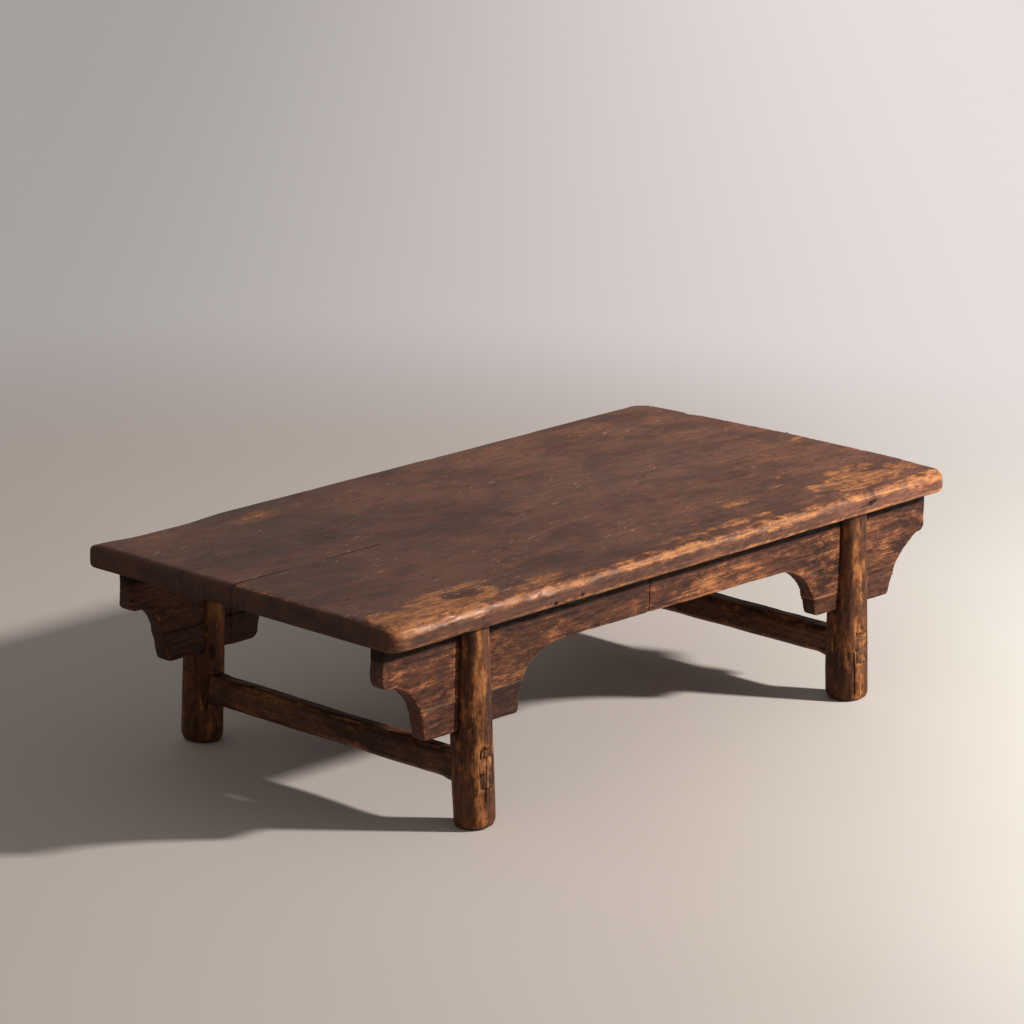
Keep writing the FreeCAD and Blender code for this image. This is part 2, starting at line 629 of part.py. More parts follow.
group("seam_dowels", [
    fit_dowel(doc.addObject("Part::Cylinder", f"{line}_{end}"), f"{way} * Sizes.{line}",
              centred("Sizes.dowel_length / 2", "Sizes.seam_offset"),
              f"{UNDER} + Sizes.board_thick / 2")
    for line in ("dowel_inner", "dowel_outer") for end, way in ENDS.items()
])
group("apron_pins", [
    fit_box(doc.addObject("Part::Box", f"pin_{side}_{number}"),
            centred("Sizes.pin_side / 2", line),
            centred("Sizes.pin_side / 2", f"{way} * {APRON_MID}"),
            centred("Sizes.pin_length / 2", UNDER))
    for side, way in SIDES.items() for number, line in enumerate(pin_lines(side))
])
wedges = []
for end, way in ENDS.items():
    for side, sign in SIDES.items():
        piece = doc.addObject("Part::Wedge", f"wedge_{side}_{end}")
        wedge(piece, sign)
        bind(piece, {"Placement.Base.x": f"{way} * {LEG_LINE}"})
        wedges.append(piece)
group("stretcher_wedges", wedges)

doc.recompute()
failed = [o.Label for o in doc.Objects if {"Invalid", "Error"} & set(o.State)]
failed += [p.Label for p in subparts if p.Shape.isNull() or not p.Shape.isValid()]
if failed:
    raise SystemExit("These failed: " + ", ".join(failed))

os.makedirs("parts", exist_ok=True)
for piece in subparts:
    piece.Shape.exportStep(f"parts/{piece.Label}.step")
    print(piece.Label, len(piece.Shape.Solids), "solid,", round(piece.Shape.Volume), "mm3")
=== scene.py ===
import itertools
import math

import bmesh
import bpy
import numpy as np
from mathutils import Matrix, Vector


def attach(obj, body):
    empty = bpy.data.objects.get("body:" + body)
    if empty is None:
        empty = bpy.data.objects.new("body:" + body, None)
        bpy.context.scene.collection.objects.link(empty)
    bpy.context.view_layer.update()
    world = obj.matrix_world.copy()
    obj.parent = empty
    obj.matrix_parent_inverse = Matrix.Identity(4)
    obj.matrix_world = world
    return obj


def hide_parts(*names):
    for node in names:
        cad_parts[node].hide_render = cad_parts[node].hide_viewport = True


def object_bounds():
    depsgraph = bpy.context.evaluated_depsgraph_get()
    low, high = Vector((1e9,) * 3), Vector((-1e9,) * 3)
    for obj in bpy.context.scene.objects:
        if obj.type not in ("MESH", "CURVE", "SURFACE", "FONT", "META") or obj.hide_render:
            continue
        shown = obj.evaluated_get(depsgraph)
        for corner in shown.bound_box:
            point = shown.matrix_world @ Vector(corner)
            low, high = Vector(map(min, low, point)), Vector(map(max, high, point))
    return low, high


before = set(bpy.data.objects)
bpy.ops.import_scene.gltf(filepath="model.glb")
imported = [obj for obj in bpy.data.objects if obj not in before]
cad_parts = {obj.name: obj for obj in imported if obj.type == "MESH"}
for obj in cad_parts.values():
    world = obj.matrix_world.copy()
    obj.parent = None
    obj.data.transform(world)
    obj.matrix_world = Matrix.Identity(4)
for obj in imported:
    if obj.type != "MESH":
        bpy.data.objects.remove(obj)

# An old low table of dark, worn wood. The camera, lamp and floor are in metres. The table's
# shapes are worked out in millimetres in the frame's own axes and written to the meshes in
# metres.

cad_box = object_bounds()
MM = 0.001
X, Y, Z = range(3)
SIGNS = {"left": -1, "right": 1, "front": -1, "back": 1}

# Camera and light

AZIMUTH, ELEVATION, ROLL = (math.radians(angle) for angle in (-47.23, 15.45, 0.66))
DISTANCE, CLIP_END = 5.078, 100.0
LENS, SENSOR = 162.0, 36.0
AIM_RIGHT, AIM_UP, AIM_HEIGHT = -0.02214, 0.09759, 0.135
KEY_PLACE, KEY_SIZE, KEY_POWER = Vector((1.692, -2.347, 1.715)), 0.24, 156.0
KEY_COLOUR = (1.0, 0.95, 0.88)
FILL_COLOUR, FILL_STRENGTH = (1.0, 0.94, 0.87, 1), 0.25
BACKDROP_COLOUR, BACKDROP_STRENGTH = (1.0, 0.96, 0.92, 1), 0.45


def set_camera():
    """The camera at the photograph's viewing angle."""
    back = Vector((math.sin(AZIMUTH) * math.cos(ELEVATION),
                   -math.cos(AZIMUTH) * math.cos(ELEVATION), math.sin(ELEVATION)))
    right = Vector((math.cos(AZIMUTH), math.sin(AZIMUTH), 0))
    up = back.cross(right)
    right, up = (right * math.cos(ROLL) + up * math.sin(ROLL),
                 up * math.cos(ROLL) - right * math.sin(ROLL))
    target = right * AIM_RIGHT + up * AIM_UP + Vector((0, 0, AIM_HEIGHT))
    data = bpy.data.cameras.new("camera")
    data.sensor_width, data.lens = SENSOR, LENS
    data.clip_end = CLIP_END
    camera = bpy.data.objects.new("camera", data)
    matrix = Matrix((right, up, back)).transposed().to_4x4()
    matrix.translation = target + back * DISTANCE
    camera.matrix_world = matrix
    bpy.context.scene.collection.objects.link(camera)
    bpy.context.scene.camera = camera


def set_light():
    """A soft lamp on the right in front, and an even fill from all round."""
    data = bpy.data.lights.new("key", "AREA")
    data.shape, data.size, data.energy = "DISK", KEY_SIZE, KEY_POWER
    data.color = KEY_COLOUR
    key = bpy.data.objects.new("key", data)
    key.location = KEY_PLACE
    key.rotation_mode = "QUATERNION"
    key.rotation_quaternion = (KEY_PLACE - Vector((0, 0, AIM_HEIGHT))).to_track_quat("Z", "Y")
    bpy.context.scene.collection.objects.link(key)

    world = bpy.data.worlds.new("studio")
    bpy.context.scene.world = world
    world.use_nodes = True
    tree = world.node_tree
    tree.nodes.clear()
    fill, backdrop = (tree.nodes.new("ShaderNodeBackground") for _ in range(2))
    fill.inputs["Color"].default_value = FILL_COLOUR
    fill.inputs["Strength"].default_value = FILL_STRENGTH
    backdrop.inputs["Color"].default_value = BACKDROP_COLOUR
    backdrop.inputs["Strength"].default_value = BACKDROP_STRENGTH
    mix, out = tree.nodes.new("ShaderNodeMixShader"), tree.nodes.new("ShaderNodeOutputWorld")
    tree.links.new(seen_directly(tree), mix.inputs["Fac"])
    tree.links.new(fill.outputs[0], mix.inputs[1])
    tree.links.new(backdrop.outputs[0], mix.inputs[2])
    tree.links.new(mix.outputs[0], out.inputs["Surface"])


def seen_directly(tree):
    """A socket that is 1 for rays from the camera and their reflections, else 0."""
    path = tree.nodes.new("ShaderNodeLightPath")
    total = path.outputs["Is Camera Ray"]
    for name in ("Is Glossy Ray", "Is Transmission Ray"):
        add = tree.nodes.new("ShaderNodeMath")
        add.operation, add.use_clamp = "ADD", True
        tree.links.new(total, add.inputs[0])
        tree.links.new(path.outputs[name], add.inputs[1])
        total = add.outputs[0]
    return total


# Shader nodes

def srgb(red, green, blue):
    """A colour written in display values from 0 to 255, as the shaders take it."""
    values = [channel / 255 for channel in (red, green, blue)]
    return (*(v / 12.92 if v < 0.04045 else ((v + 0.055) / 1.055) ** 2.4 for v in values), 1)


class Shader:
    """A material's node tree, with short calls for the nodes that the woods are made of."""

    def __init__(self, name):
        self.material = bpy.data.materials.new(name)
        self.material.use_nodes = True
        self.tree = self.material.node_tree
        self.tree.nodes.clear()
        self.texture = self.node("TexCoord")
        self.place = self.texture.outputs["Object"]

    def node(self, kind, inputs=None, **settings):
        """A node. inputs maps a socket's name or number to a value or a socket."""
        made = self.tree.nodes.new(f"ShaderNode{kind}")
        for key, value in settings.items():
            setattr(made, key, value)
        for key, value in (inputs or {}).items():
            if isinstance(value, bpy.types.NodeSocket):
                self.tree.links.new(value, made.inputs[key])
            else:
                made.inputs[key].default_value = value
        return made

    def noise(self, size, detail=3.0, rough=0.55, twist=0.0, shift=0.0, turn=0.0):
        """Noise from 0 to 1 with features of a size in mm, turned about Z by degrees."""
        mapped = self.node("Mapping", {
            "Vector": self.place, "Location": (shift, shift * 0.7, shift * 1.3),
            "Rotation": (0, 0, math.radians(turn)),
            "Scale": tuple(length * MM for length in size)}, vector_type="TEXTURE")
        return self.node("TexNoise", {
            "Vector": mapped.outputs[0], "Scale": 1.0, "Detail": detail, "Roughness": rough,
            "Distortion": twist}).outputs["Fac"]

    def math(self, operation, first, second=0.0, clamp=False):
        return self.node("Math", {0: first, 1: second}, operation=operation,
                         use_clamp=clamp).outputs[0]

    def times(self, first, second):
        return self.math("MULTIPLY", first, second)

    def step(self, value, low, high, start=0.0, end=1.0):
        """A smooth step of a value, from start at low to end at high."""
        return self.node("MapRange", {0: value, 1: low, 2: high, 3: start, 4: end},
                         interpolation_type="SMOOTHSTEP").outputs[0]

    def mix(self, share, first, second, blend="MIX"):
        """Two colours, mixed by a share."""
        return self.node("Mix", {0: share, 6: first, 7: second}, data_type="RGBA",
                         blend_type=blend).outputs[2]

    def grey(self, value):
        """A value as a colour."""
        return self.node("CombineColor", {0: value, 1: value, 2: value}).outputs[0]

    def sum(self, *terms):
        """The sum of (factor, value, middle) terms, each factor * (value - middle)."""
        total = None
        for factor, value, middle in terms:
            term = self.times(self.math("SUBTRACT", value, middle), factor)
            total = term if total is None else self.math("ADD", total, term)
        return total


# DARK also colours the painted shade that the stain channel carries in places.
DARK, FILM = srgb(34, 21, 17), srgb(88, 74, 69)  # Stains and pits, and a greyed surface
SCRATCH = srgb(188, 150, 122)
SHEEN = (1.0, 0.82, 0.70, 1.0)
BUMP_HEIGHT = 0.8
WEAR_AND_HIGHLIGHT, STAIN_AND_SHADE, GREY, POLISH = range(4)  # What the channels of the meshes' look attribute paint


def wood(name, along, patina, honey, spread=1.0, level=1.0, mottle=0.8, flecked=0.9, lined=0.42,
         scratched=0.0, bump=0.35, gloss=(0.5, 0.75), specular=0.2):
    """Old wood with its grain along an axis. The meshes' look and shade attributes paint it.

    patina and honey are pairs of colours, of the surface and of the wood that wear bares.
    The look attribute's red is that wear, with a painted highlight in one place, green the
    dark stain, which in places is painted shade, blue the grey film and alpha the polish.
    shade is how much darker a place is. spread widens the figure across the grain and level
    widens it along Y. mottle is how strong the large clouds are, flecked the small ones, lined
    the fine lines and scratched the pale scratches. gloss is the range of the roughness."""
    shader = Shader(name)

    def sized(length, across):
        size = [across * spread] * 3
        size[Y] *= level
        size[along] = length
        return size

    look = shader.node("Attribute", attribute_name="look")
    shade = shader.node("Attribute", attribute_name="shade").outputs["Fac"]
    parts = shader.node("SeparateColor", {"Color": look.outputs["Color"]}).outputs
    wear, stain, grey = parts[WEAR_AND_HIGHLIGHT], parts[STAIN_AND_SHADE], parts[GREY]
    polish = look.outputs["Alpha"]
    normals = shader.node("SeparateXYZ", {0: shader.texture.outputs["Normal"]}).outputs
    end_grain = shader.step(shader.math("ABSOLUTE", normals[along]), 0.6, 0.85)
    level_face = shader.step(normals[Z], 0.9, 0.97)

    clouds = shader.noise(sized(170, 56), detail=4, rough=0.55, twist=0.6)
    patch = shader.noise(sized(56, 17), detail=5, rough=0.62, twist=0.6, shift=11.3)
    blotch = shader.noise(sized(15, 4.2), detail=4, rough=0.65, twist=0.3, shift=15.1)
    streak = shader.noise(sized(90, 2.0), detail=4, rough=0.62, twist=0.15, shift=3.1)
    fibre = shader.noise(sized(20, 0.6), detail=3, rough=0.62, shift=7.7)
    speck = shader.noise(sized(3.6, 1.4), detail=3, rough=0.65, shift=5.9)
    sawn = shader.noise((5, 1.7, 50), detail=3, rough=0.6, shift=9.2)
    vein = shader.noise(sized(130, 6.5), detail=3, rough=0.5, twist=0.3, shift=23.7)
    scrape = shader.noise(sized(19, 2.4), detail=2, rough=0.5, shift=31.9, turn=19)

    # The patina, from one of its colours to the other, with fine lines along the grain
    figure = shader.sum((mottle, clouds, 0.5), (mottle, patch, 0.5), (flecked, blotch, 0.5),
                        (0.4 * flecked, streak, 0.5))
    ground = shader.mix(shader.step(figure, -0.22, 0.22), *patina)
    lines = shader.sum((0.7, shader.step(streak, 0.25, 0.75), 0.5),
                       (0.5, shader.step(fibre, 0.25, 0.75), 0.5),
                       (0.6, shader.step(speck, 0.25, 0.75), 0.5),
                       (0.5, shader.step(blotch, 0.3, 0.7), 0.5))
    lines = shader.times(lines, shader.step(end_grain, 0, 1, lined, 0.15))
    cut = shader.sum((0.5, shader.step(sawn, 0.3, 0.7), 0.5))
    lines = shader.math("ADD", lines, shader.times(cut, end_grain))
    lines = shader.grey(shader.math("ADD", lines, 1.0))
    ground = shader.mix(1.0, ground, lines, "MULTIPLY")
    filmed = shader.times(grey, shader.step(patch, 0.25, 0.7, 0.5, 1.0))
    ground = shader.mix(filmed, ground, FILM)

    # The bared wood, reddish where it is only rubbed thin
    paler = shader.sum((0.6, streak, 0), (0.9, blotch, 0.5), (0.5, patch, 0))
    bare = shader.mix(shader.step(paler, 0.36, 0.74), *honey)
    bare = shader.mix(0.9, bare, lines, "MULTIPLY")
    # The wear channel also carries a painted highlight on one spandrel block's upper arris.
    rubbed = shader.sum((1.0, wear, 0), (1.0, patch, 0.5), (1.0, blotch, 0.5),
                        (0.5, streak, 0.5), (0.4, fibre, 0.5), (0.5, speck, 0.5))
    thin, worn = shader.step(rubbed, 0.16, 0.5), shader.step(rubbed, 0.34, 0.72)
    colour = shader.mix(shader.times(thin, 0.5), ground, honey[0])
    colour = shader.mix(worn, colour, bare)

    # Dark stain, in places painted shade, pits, fine cracks and a few pale scratches
    stained = shader.step(shader.sum((1.0, stain, 0), (0.8, blotch, 0.5), (0.5, patch, 0.5),
                                     (0.5, streak, 0.5), (0.4, fibre, 0.5)), 0.3, 0.66)
    colour = shader.mix(shader.times(stained, 0.85), colour, DARK)
    pits = shader.times(shader.step(speck, 0.29, 0.36, 0.75, 0.0), shader.step(patch, 0.4, 0.58))
    crack = shader.math("ABSOLUTE", shader.sum((1.0, vein, 0.5)))
    crack = shader.step(crack, 0.0, 0.03, 0.75, 0.0)
    cracked = shader.step(shader.sum((1.0, patch, 0), (0.5, blotch, 0.5)), 0.52, 0.66)
    pits = shader.times(shader.math("MAXIMUM", pits, shader.times(crack, cracked)),
                        shader.step(end_grain, 0, 1, 1, 0.2))
    colour = shader.mix(pits, colour, DARK)
    pale = shader.times(shader.step(scrape, 0.66, 0.72, 0.0, scratched),
                        shader.times(shader.step(clouds, 0.47, 0.57), level_face))
    colour = shader.mix(pale, colour, SCRATCH)
    lit = shader.grey(shader.math("SUBTRACT", 1.0, shade))
    colour = shader.mix(1.0, colour, lit, "MULTIPLY")

    height = shader.sum((0.4, fibre, 0), (0.6, streak, 0), (0.5, speck, 0), (1.2, blotch, 0),
                        (1.4, patch, 0), (-0.4, stained, 0), (-0.9, pits, 0), (-0.3, pale, 0))
    normal = shader.node("Bump", {"Strength": bump, "Distance": BUMP_HEIGHT * MM,
                                  "Height": height})
    rough = shader.sum((gloss[1] - gloss[0], shader.step(blotch, 0.3, 0.7), 0),
                       (0.1, worn, 0), (0.2, stained, 0), (-0.32, polish, 0), (0.1, grey, 0))
    surface = shader.node("BsdfPrincipled", {
        "Base Color": colour, "Roughness": shader.math("ADD", rough, gloss[0], clamp=True),
        "Normal": normal.outputs[0]})
    surface.inputs["Specular IOR Level"].default_value = specular
    surface.inputs["Specular Tint"].default_value = SHEEN
    shader.node("OutputMaterial", {"Surface": surface.outputs[0]})
    return shader.material


RIGHTWARD = (0.679, -0.734, 0)  # Across the floor, to the right in the photograph's view
# Painted light: the floor's colours run from darker on the left to paler on the right, near the
# table and far out, as the lamp's light falls off.
NEAR_SHADED_LEFT, NEAR_LIT_RIGHT, CLOUD = srgb(203, 194, 190), srgb(228, 228, 224), srgb(150, 140, 132)
FAR_SHADED_LEFT, FAR_LIT_RIGHT = srgb(167, 161, 160), srgb(231, 223, 220)
CLOUD_SIZE = 700  # In mm
FAR_SHIFT = (0.2, -0.27, 0)  # What brings the middle of the lit floor to zero
FAR_START, FAR_END = 1.0, 2.0  # How far out the lit floor passes into an even glow


def floor_material():
    """A pale floor that stays pale where it runs out of the lamp's reach, with painted light that
    makes it darker to the left and paler to the right.
    """
    shader = Shader("pale_floor")
    across = shader.node("VectorMath", {0: shader.place, 1: RIGHTWARD},
                         operation="DOT_PRODUCT").outputs["Value"]
    # Painted light: the floor's colour is darker on the left and paler on the right.
    colour = shader.mix(shader.step(across, 0.1, 0.8), NEAR_SHADED_LEFT, NEAR_LIT_RIGHT)
    cloud = shader.noise((CLOUD_SIZE, CLOUD_SIZE, CLOUD_SIZE), detail=2)
    colour = shader.mix(shader.step(cloud, 0.3, 0.7, 0.0, 0.06), colour, CLOUD)
    surface = shader.node("BsdfPrincipled", {"Base Color": colour})
    surface.inputs["Roughness"].default_value = 0.75
    surface.inputs["Specular IOR Level"].default_value = 0.2
    from_middle = shader.node("VectorMath", {0: shader.place, 1: FAR_SHIFT})
    away = shader.node("VectorMath", {0: from_middle.outputs[0]},
                       operation="LENGTH").outputs["Value"]
    # Painted light in the glow: darker on the left, paler on the right.
    pale = shader.mix(shader.step(across, -0.9, 0.9), FAR_SHADED_LEFT, FAR_LIT_RIGHT)
    glow = shader.node("Emission", {"Color": pale, "Strength": 1.0})
    far = shader.times(shader.step(away, FAR_START, FAR_END), seen_directly(shader.tree))
    mixed = shader.node("MixShader", {0: far, 1: surface.outputs[0], 2: glow.outputs[0]})
    shader.node("OutputMaterial", {"Surface": mixed.outputs[0]})
    return shader.material


# Noise and masks over points

CELLS = 256
RANDOM = np.random.default_rng(11)
ORDER = RANDOM.permutation(CELLS)
HEIGHTS = RANDOM.uniform(-1, 1, CELLS)
OCTAVE_SHIFT, NOISE_GAIN = 31.7, 1.6


def noise(points, size, shift=0.0, octaves=3):
    """Smooth noise from about -1 to 1 at points, with features of a size in mm."""
    total, share, reach = np.zeros(len(points)), 1.0, 0.0
    scaled = points / np.broadcast_to(size, 3) + shift
    for _ in range(octaves):
        base = np.floor(scaled).astype(int)
        part = scaled - base
        part = part * part * (3 - 2 * part)
        for corner in itertools.product((0, 1), repeat=3):
            weight = np.prod(np.where(corner, part, 1 - part), axis=1)
            x, y, z = (base + corner).T
            cell = ORDER[(ORDER[(ORDER[x % CELLS] + y) % CELLS] + z) % CELLS]
            total += share * weight * HEIGHTS[cell]
        reach += share
        share, scaled = share / 2, scaled * 2 + OCTAVE_SHIFT
    return total / reach * NOISE_GAIN


def smooth_step(value, low, high):
    """0 below low, 1 above high and smooth between them."""
    part = np.clip((value - low) / (high - low), 0, 1)
    return part * part * (3 - 2 * part)


def within(distance, limit, fade):
    """A mask of what is nearer than a limit, full where it is nearer by the fade."""
    return smooth_step(limit - distance, 0, fade)


def spot(points, centre, reach):
    """A round mask about a centre that fades over a reach in mm along each axis."""
    return np.exp(-(((points - centre) / np.broadcast_to(reach, 3)) ** 2).sum(axis=1))


def ragged(mask, points, size, shift):
    """A soft mask with its edge broken up by noise."""
    return smooth_step(mask + 0.24 * noise(points, size, shift), 0.3, 0.6)


def turn_from(angle, centre):
    """How far an angle in radians is from a centre in degrees, the short way round."""
    return (angle - math.radians(centre) + math.pi) % (2 * math.pi) - math.pi


def toward(angle, centre, width):
    """A mask about an angle that fades over a width. angle is in radians, the rest degrees."""
    return np.exp(-(turn_from(angle, centre) / math.radians(width)) ** 2)


def crisp(across, up, power):
    """Draws points of a quarter round out towards its corner, the more the higher the power."""
    angle = np.arctan2(up, across)
    growth = (np.abs(np.cos(angle)) ** power + np.abs(np.sin(angle)) ** power) ** (-1 / power)
    growth = np.where((across > 0) & (up > 0), growth, 1.0)
    return across * growth, up * growth


# Worn copies of the frame's nodes

UNDER, TOP = 218.0, 245.0
HALF_LENGTH, HALF_WIDTH, SEAM = 450.0, 226.0, 7.5
APRON_MID, LEG_LINE, FOOT_OUT, SPLAY = 191.4, 307.0, 12.0, 9.0
WELD = 0.01
MOST_STANDING = 1.6  # Where a point stands out by more, it wears no more


class Piece:
    """A fine mesh of one or more nodes, shaped and painted through arrays in mm."""

    def __init__(self, name, nodes, voxel, edge_rounds=10):
        self.nodes = nodes
        joined = bmesh.new()
        for node in nodes:
            joined.from_mesh(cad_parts[node].data)
        bmesh.ops.remove_doubles(joined, verts=joined.verts, dist=WELD * MM)
        coarse = bpy.data.meshes.new(name)
        joined.to_mesh(coarse)
        joined.free()
        self.thing = bpy.data.objects.new(name, coarse)
        bpy.context.scene.collection.objects.link(self.thing)
        remesh = self.thing.modifiers.new("fine", "REMESH")
        remesh.mode, remesh.voxel_size, remesh.adaptivity = "VOXEL", voxel * MM, 0
        depsgraph = bpy.context.evaluated_depsgraph_get()
        self.mesh = bpy.data.meshes.new_from_object(self.thing.evaluated_get(depsgraph))
        self.thing.modifiers.clear()
        self.thing.data = self.mesh
        bpy.data.meshes.remove(coarse)
        self.points, self.normals = self.read("co") / MM, self.read("normal")
        self.crisp = self.sharpness(edge_rounds)
        self.look = np.zeros((len(self.points), 4))
        self.shade = np.zeros(len(self.points))

    def read(self, what):
        """A vector of every vertex, as rows of three."""
        flat = np.empty(len(self.mesh.vertices) * 3)
        self.mesh.vertices.foreach_get(what, flat)
        return flat.reshape(-1, 3)

    def sharpness(self, rounds):
        """How far each point stands out from its smoothed surroundings, in mm."""
        edges = np.empty(len(self.mesh.edges) * 2, int)
        self.mesh.edges.foreach_get("vertices", edges)
        first, last = edges.reshape(-1, 2).T
        count = len(self.points)
        links = np.bincount(edges, minlength=count)[:, None]
        smooth = self.points.copy()
        for _ in range(rounds):
            total = np.stack([
                np.bincount(first, smooth[last, axis], count)
                + np.bincount(last, smooth[first, axis], count) for axis in (X, Y, Z)], axis=1)
            smooth = total / np.maximum(links, 1)
        return ((self.points - smooth) * self.normals).sum(axis=1)

    def push(self, depth):
        """Moves points along their normals, inwards where depth is below zero."""
        self.points += self.normals * np.asarray(depth)[:, None]

    def wear_edges(self, depth, size, shift, bared):
        """Rounds standing edges unevenly, and uncovers bare wood along them."""
        uneven = 0.75 + noise(self.points, size, shift)
        stand = np.clip(self.crisp, 0, MOST_STANDING)
        self.push(-stand * depth * np.clip(uneven, 0.1, 2))
        self.look[:, WEAR_AND_HIGHLIGHT] += smooth_step(stand, 0.12, 0.8) * bared * np.clip(uneven, 0, 1.5)

    def finish(self, material, slot):
        """Writes the arrays back, and puts the piece in its nodes' place."""
        low, high = (np.array(corner) / MM for corner in cad_box)
        points = np.clip(self.points, low, high) * MM
        self.mesh.vertices.foreach_set("co", points.ravel())
        attribute = self.mesh.attributes.new("look", "FLOAT_COLOR", "POINT")
        attribute.data.foreach_set("color", np.clip(self.look, 0, 1).ravel())
        attribute = self.mesh.attributes.new("shade", "FLOAT", "POINT")
        attribute.data.foreach_set("value", self.shade)
        self.mesh.polygons.foreach_set("use_smooth", [True] * len(self.mesh.polygons))
        self.mesh.materials.clear()
        self.mesh.materials.append(material)
        self.mesh.update()
        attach(self.thing, "root")
        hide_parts(*self.nodes)


# The top

TOP_WEAR = (  # Place along and across the top, reach along and across it, and strength
    (-345, -196, 96, 28, 0.74), (-418, -196, 40, 34, 0.72), (-312, -166, 64, 14, 0.5),
    (-215, -206, 60, 14, 0.56), (15, -206, 40, 10, 0.5), (110, -203, 60, 10, 0.5),
    (163, -151, 34, 11, 0.42), (330, -186, 90, 28, 0.62), (366, -151, 46, 16, 0.54),
    (419, -178, 24, 20, 0.5), (283, -120, 12, 8, 0.4), (247, -137, 18, 9, 0.36),
    (411, 66, 18, 12, 0.32), (428, -35, 18, 22, 0.3), (282, 170, 60, 16, 0.34),
    (-395, 189, 44, 18, 0.34), (-256, 181, 54, 20, 0.32), (-330, -60, 40, 22, 0.16),
    (-180, -150, 60, 20, 0.2), (330, -60, 60, 30, 0.2), (-30, 150, 60, 20, 0.16),
)
TOP_STAINS = (  # The same for dark stains
    (-305, -184, 32, 13, 1.0), (-242, -196, 24, 8, 0.9), (-395, -155, 22, 9, 0.5),
    (345, -212, 22, 7, 0.6), (187, -194, 30, 8, 0.6), (-345, 200, 30, 8, 0.5),
    (60, -214, 16, 5, 0.6), (262, -212, 20, 6, 0.6), (-150, -205, 30, 7, 0.5),
    (395, -160, 14, 8, 0.5), (300, -150, 26, 10, 0.4), (-60, -120, 46, 12, 0.3),
)
FILM_CLOUDS = ((-300, 115, 130, 70), (150, 20, 190, 60))  # Place and reach, along and across
FRONT_NICKS = (  # Place along the front edge, height and size
    (-168.5, 224.0, 2.6), (-208.5, 222.6, 2.4), (311, 230.6, 3.7), (317.5, 231.8, 2.9))
CRACK_PLACE, CRACK_REACH, CRACK_DEPTH = (299, -HALF_WIDTH, 229.4), (10, 6, 1.2), 0.6
CHIP_PLACE, CHIP_REACH, CHIP_DEPTH = (436, 145, 237), (12, 9, 18), 4.0
HOLLOW_DEPTH = 7.5  # Of the hollow in the back edge, between these places along it
HOLLOW_START, HOLLOW_FULL, HOLLOW_EASE, HOLLOW_END = -450, -385, -330, -255
SKEW_SEAM, SKEW_BACK = 1.0, 17.0  # How far the right end falls short at the seam and the back
CORNERS = {  # Signs along X and Y of the top's corners, and their radii in plan
    (-1, -1): 19.0, (1, -1): 17.0, (-1, 1): 3.0, (1, 1): 26.0,
}
BACK_LEFT_ROUND = 10.0  # The frame's radius of the corner that is sharper in use
BACK_LEFT_POWER = 6.0  # How crisp that corner and the ends' upper edges are. 2 is a round.
END_POWERS = {"left": 5.5, "right": 2.9}
EDGE_ROUND = 8.0  # The frame's upper round
SOFT_ROUND, SOFT_SWAY = 11.5, 2.5  # The front edge's worn round, and how much it varies
SEAM_NEAR = 1.0  # Points this near the seam move with it
BOARD_VOXEL = 1.8


def right_end(y):
    """Where the top's right end lies along X, which falls short towards the back."""
    return np.where(y < SEAM, HALF_LENGTH - SKEW_SEAM * (y + HALF_WIDTH) / (HALF_WIDTH + SEAM),
                    HALF_LENGTH - SKEW_SEAM
                    - (SKEW_BACK - SKEW_SEAM) * (y - SEAM) / (HALF_WIDTH - SEAM))


def rim(x, y):
    """The distance in from the top's outline, and the way inwards, for points in plan."""
    ends = np.stack([x + HALF_LENGTH, right_end(y) - x, y + HALF_WIDTH, HALF_WIDTH - y])
    nearest = ends.argmin(axis=0)
    distance = ends.min(axis=0)
    way = np.array([(1.0, 0.0), (-1.0, 0.0), (0.0, 1.0), (0.0, -1.0)])[nearest]
    for (sign_x, sign_y), radius in CORNERS.items():
        along = ends[0 if sign_x < 0 else 1]
        across = ends[2 if sign_y < 0 else 3]
        off = np.stack([radius - along, radius - across])
        inside = (off > 0).all(axis=0)
        reach = np.hypot(*off)
        distance = np.where(inside, radius - reach, distance)
        turned = np.stack([-sign_x * off[0], -sign_y * off[1]], axis=1)
        turned /= np.maximum(reach, 1e-6)[:, None]
        way = np.where(inside[:, None], turned, way)
    return distance, way


def shape_rim(points):
    """Works over the top's rounded rim: crisp at the ends, sharp at one corner, soft in front."""
    corner = BACK_LEFT_ROUND
    across, up = crisp(-points[:, X] - HALF_LENGTH + corner, points[:, Y] - HALF_WIDTH + corner,
                       BACK_LEFT_POWER)
    points[:, X] = -HALF_LENGTH + corner - across
    points[:, Y] = HALF_WIDTH - corner + up
    straight = smooth_step(points[:, Y] + HALF_WIDTH, 24, 60)
    for side, power in END_POWERS.items():
        sign = SIGNS[side]
        end = right_end(points[:, Y]) if side == "right" else HALF_LENGTH
        inwards = end - sign * points[:, X]
        near = (inwards > -1) & (inwards < EDGE_ROUND)
        across, up = crisp(EDGE_ROUND - inwards, points[:, Z] - TOP + EDGE_ROUND,
                           2 + (power - 2) * straight)
        points[:, X] = np.where(near, sign * (end - EDGE_ROUND + across), points[:, X])
        points[:, Z] = np.where(near, TOP - EDGE_ROUND + up, points[:, Z])
    distance, way = rim(points[:, X], points[:, Y])
    soft = SOFT_ROUND + SOFT_SWAY * noise(points * (1, 0, 0), 60, 3.0)
    soft = EDGE_ROUND + (soft - EDGE_ROUND) * smooth_step(-points[:, Y], 150, 200)
    into, down = soft - distance, soft - (TOP - points[:, Z])
    reach = np.hypot(into, down)
    hit = (into > 0) & (down > 0) & (reach > soft)
    share = np.where(hit, 1 - soft / np.maximum(reach, 1e-6), 0)
    points[:, :Z] += way * (into * share)[:, None]
    points[:, Z] -= down * share


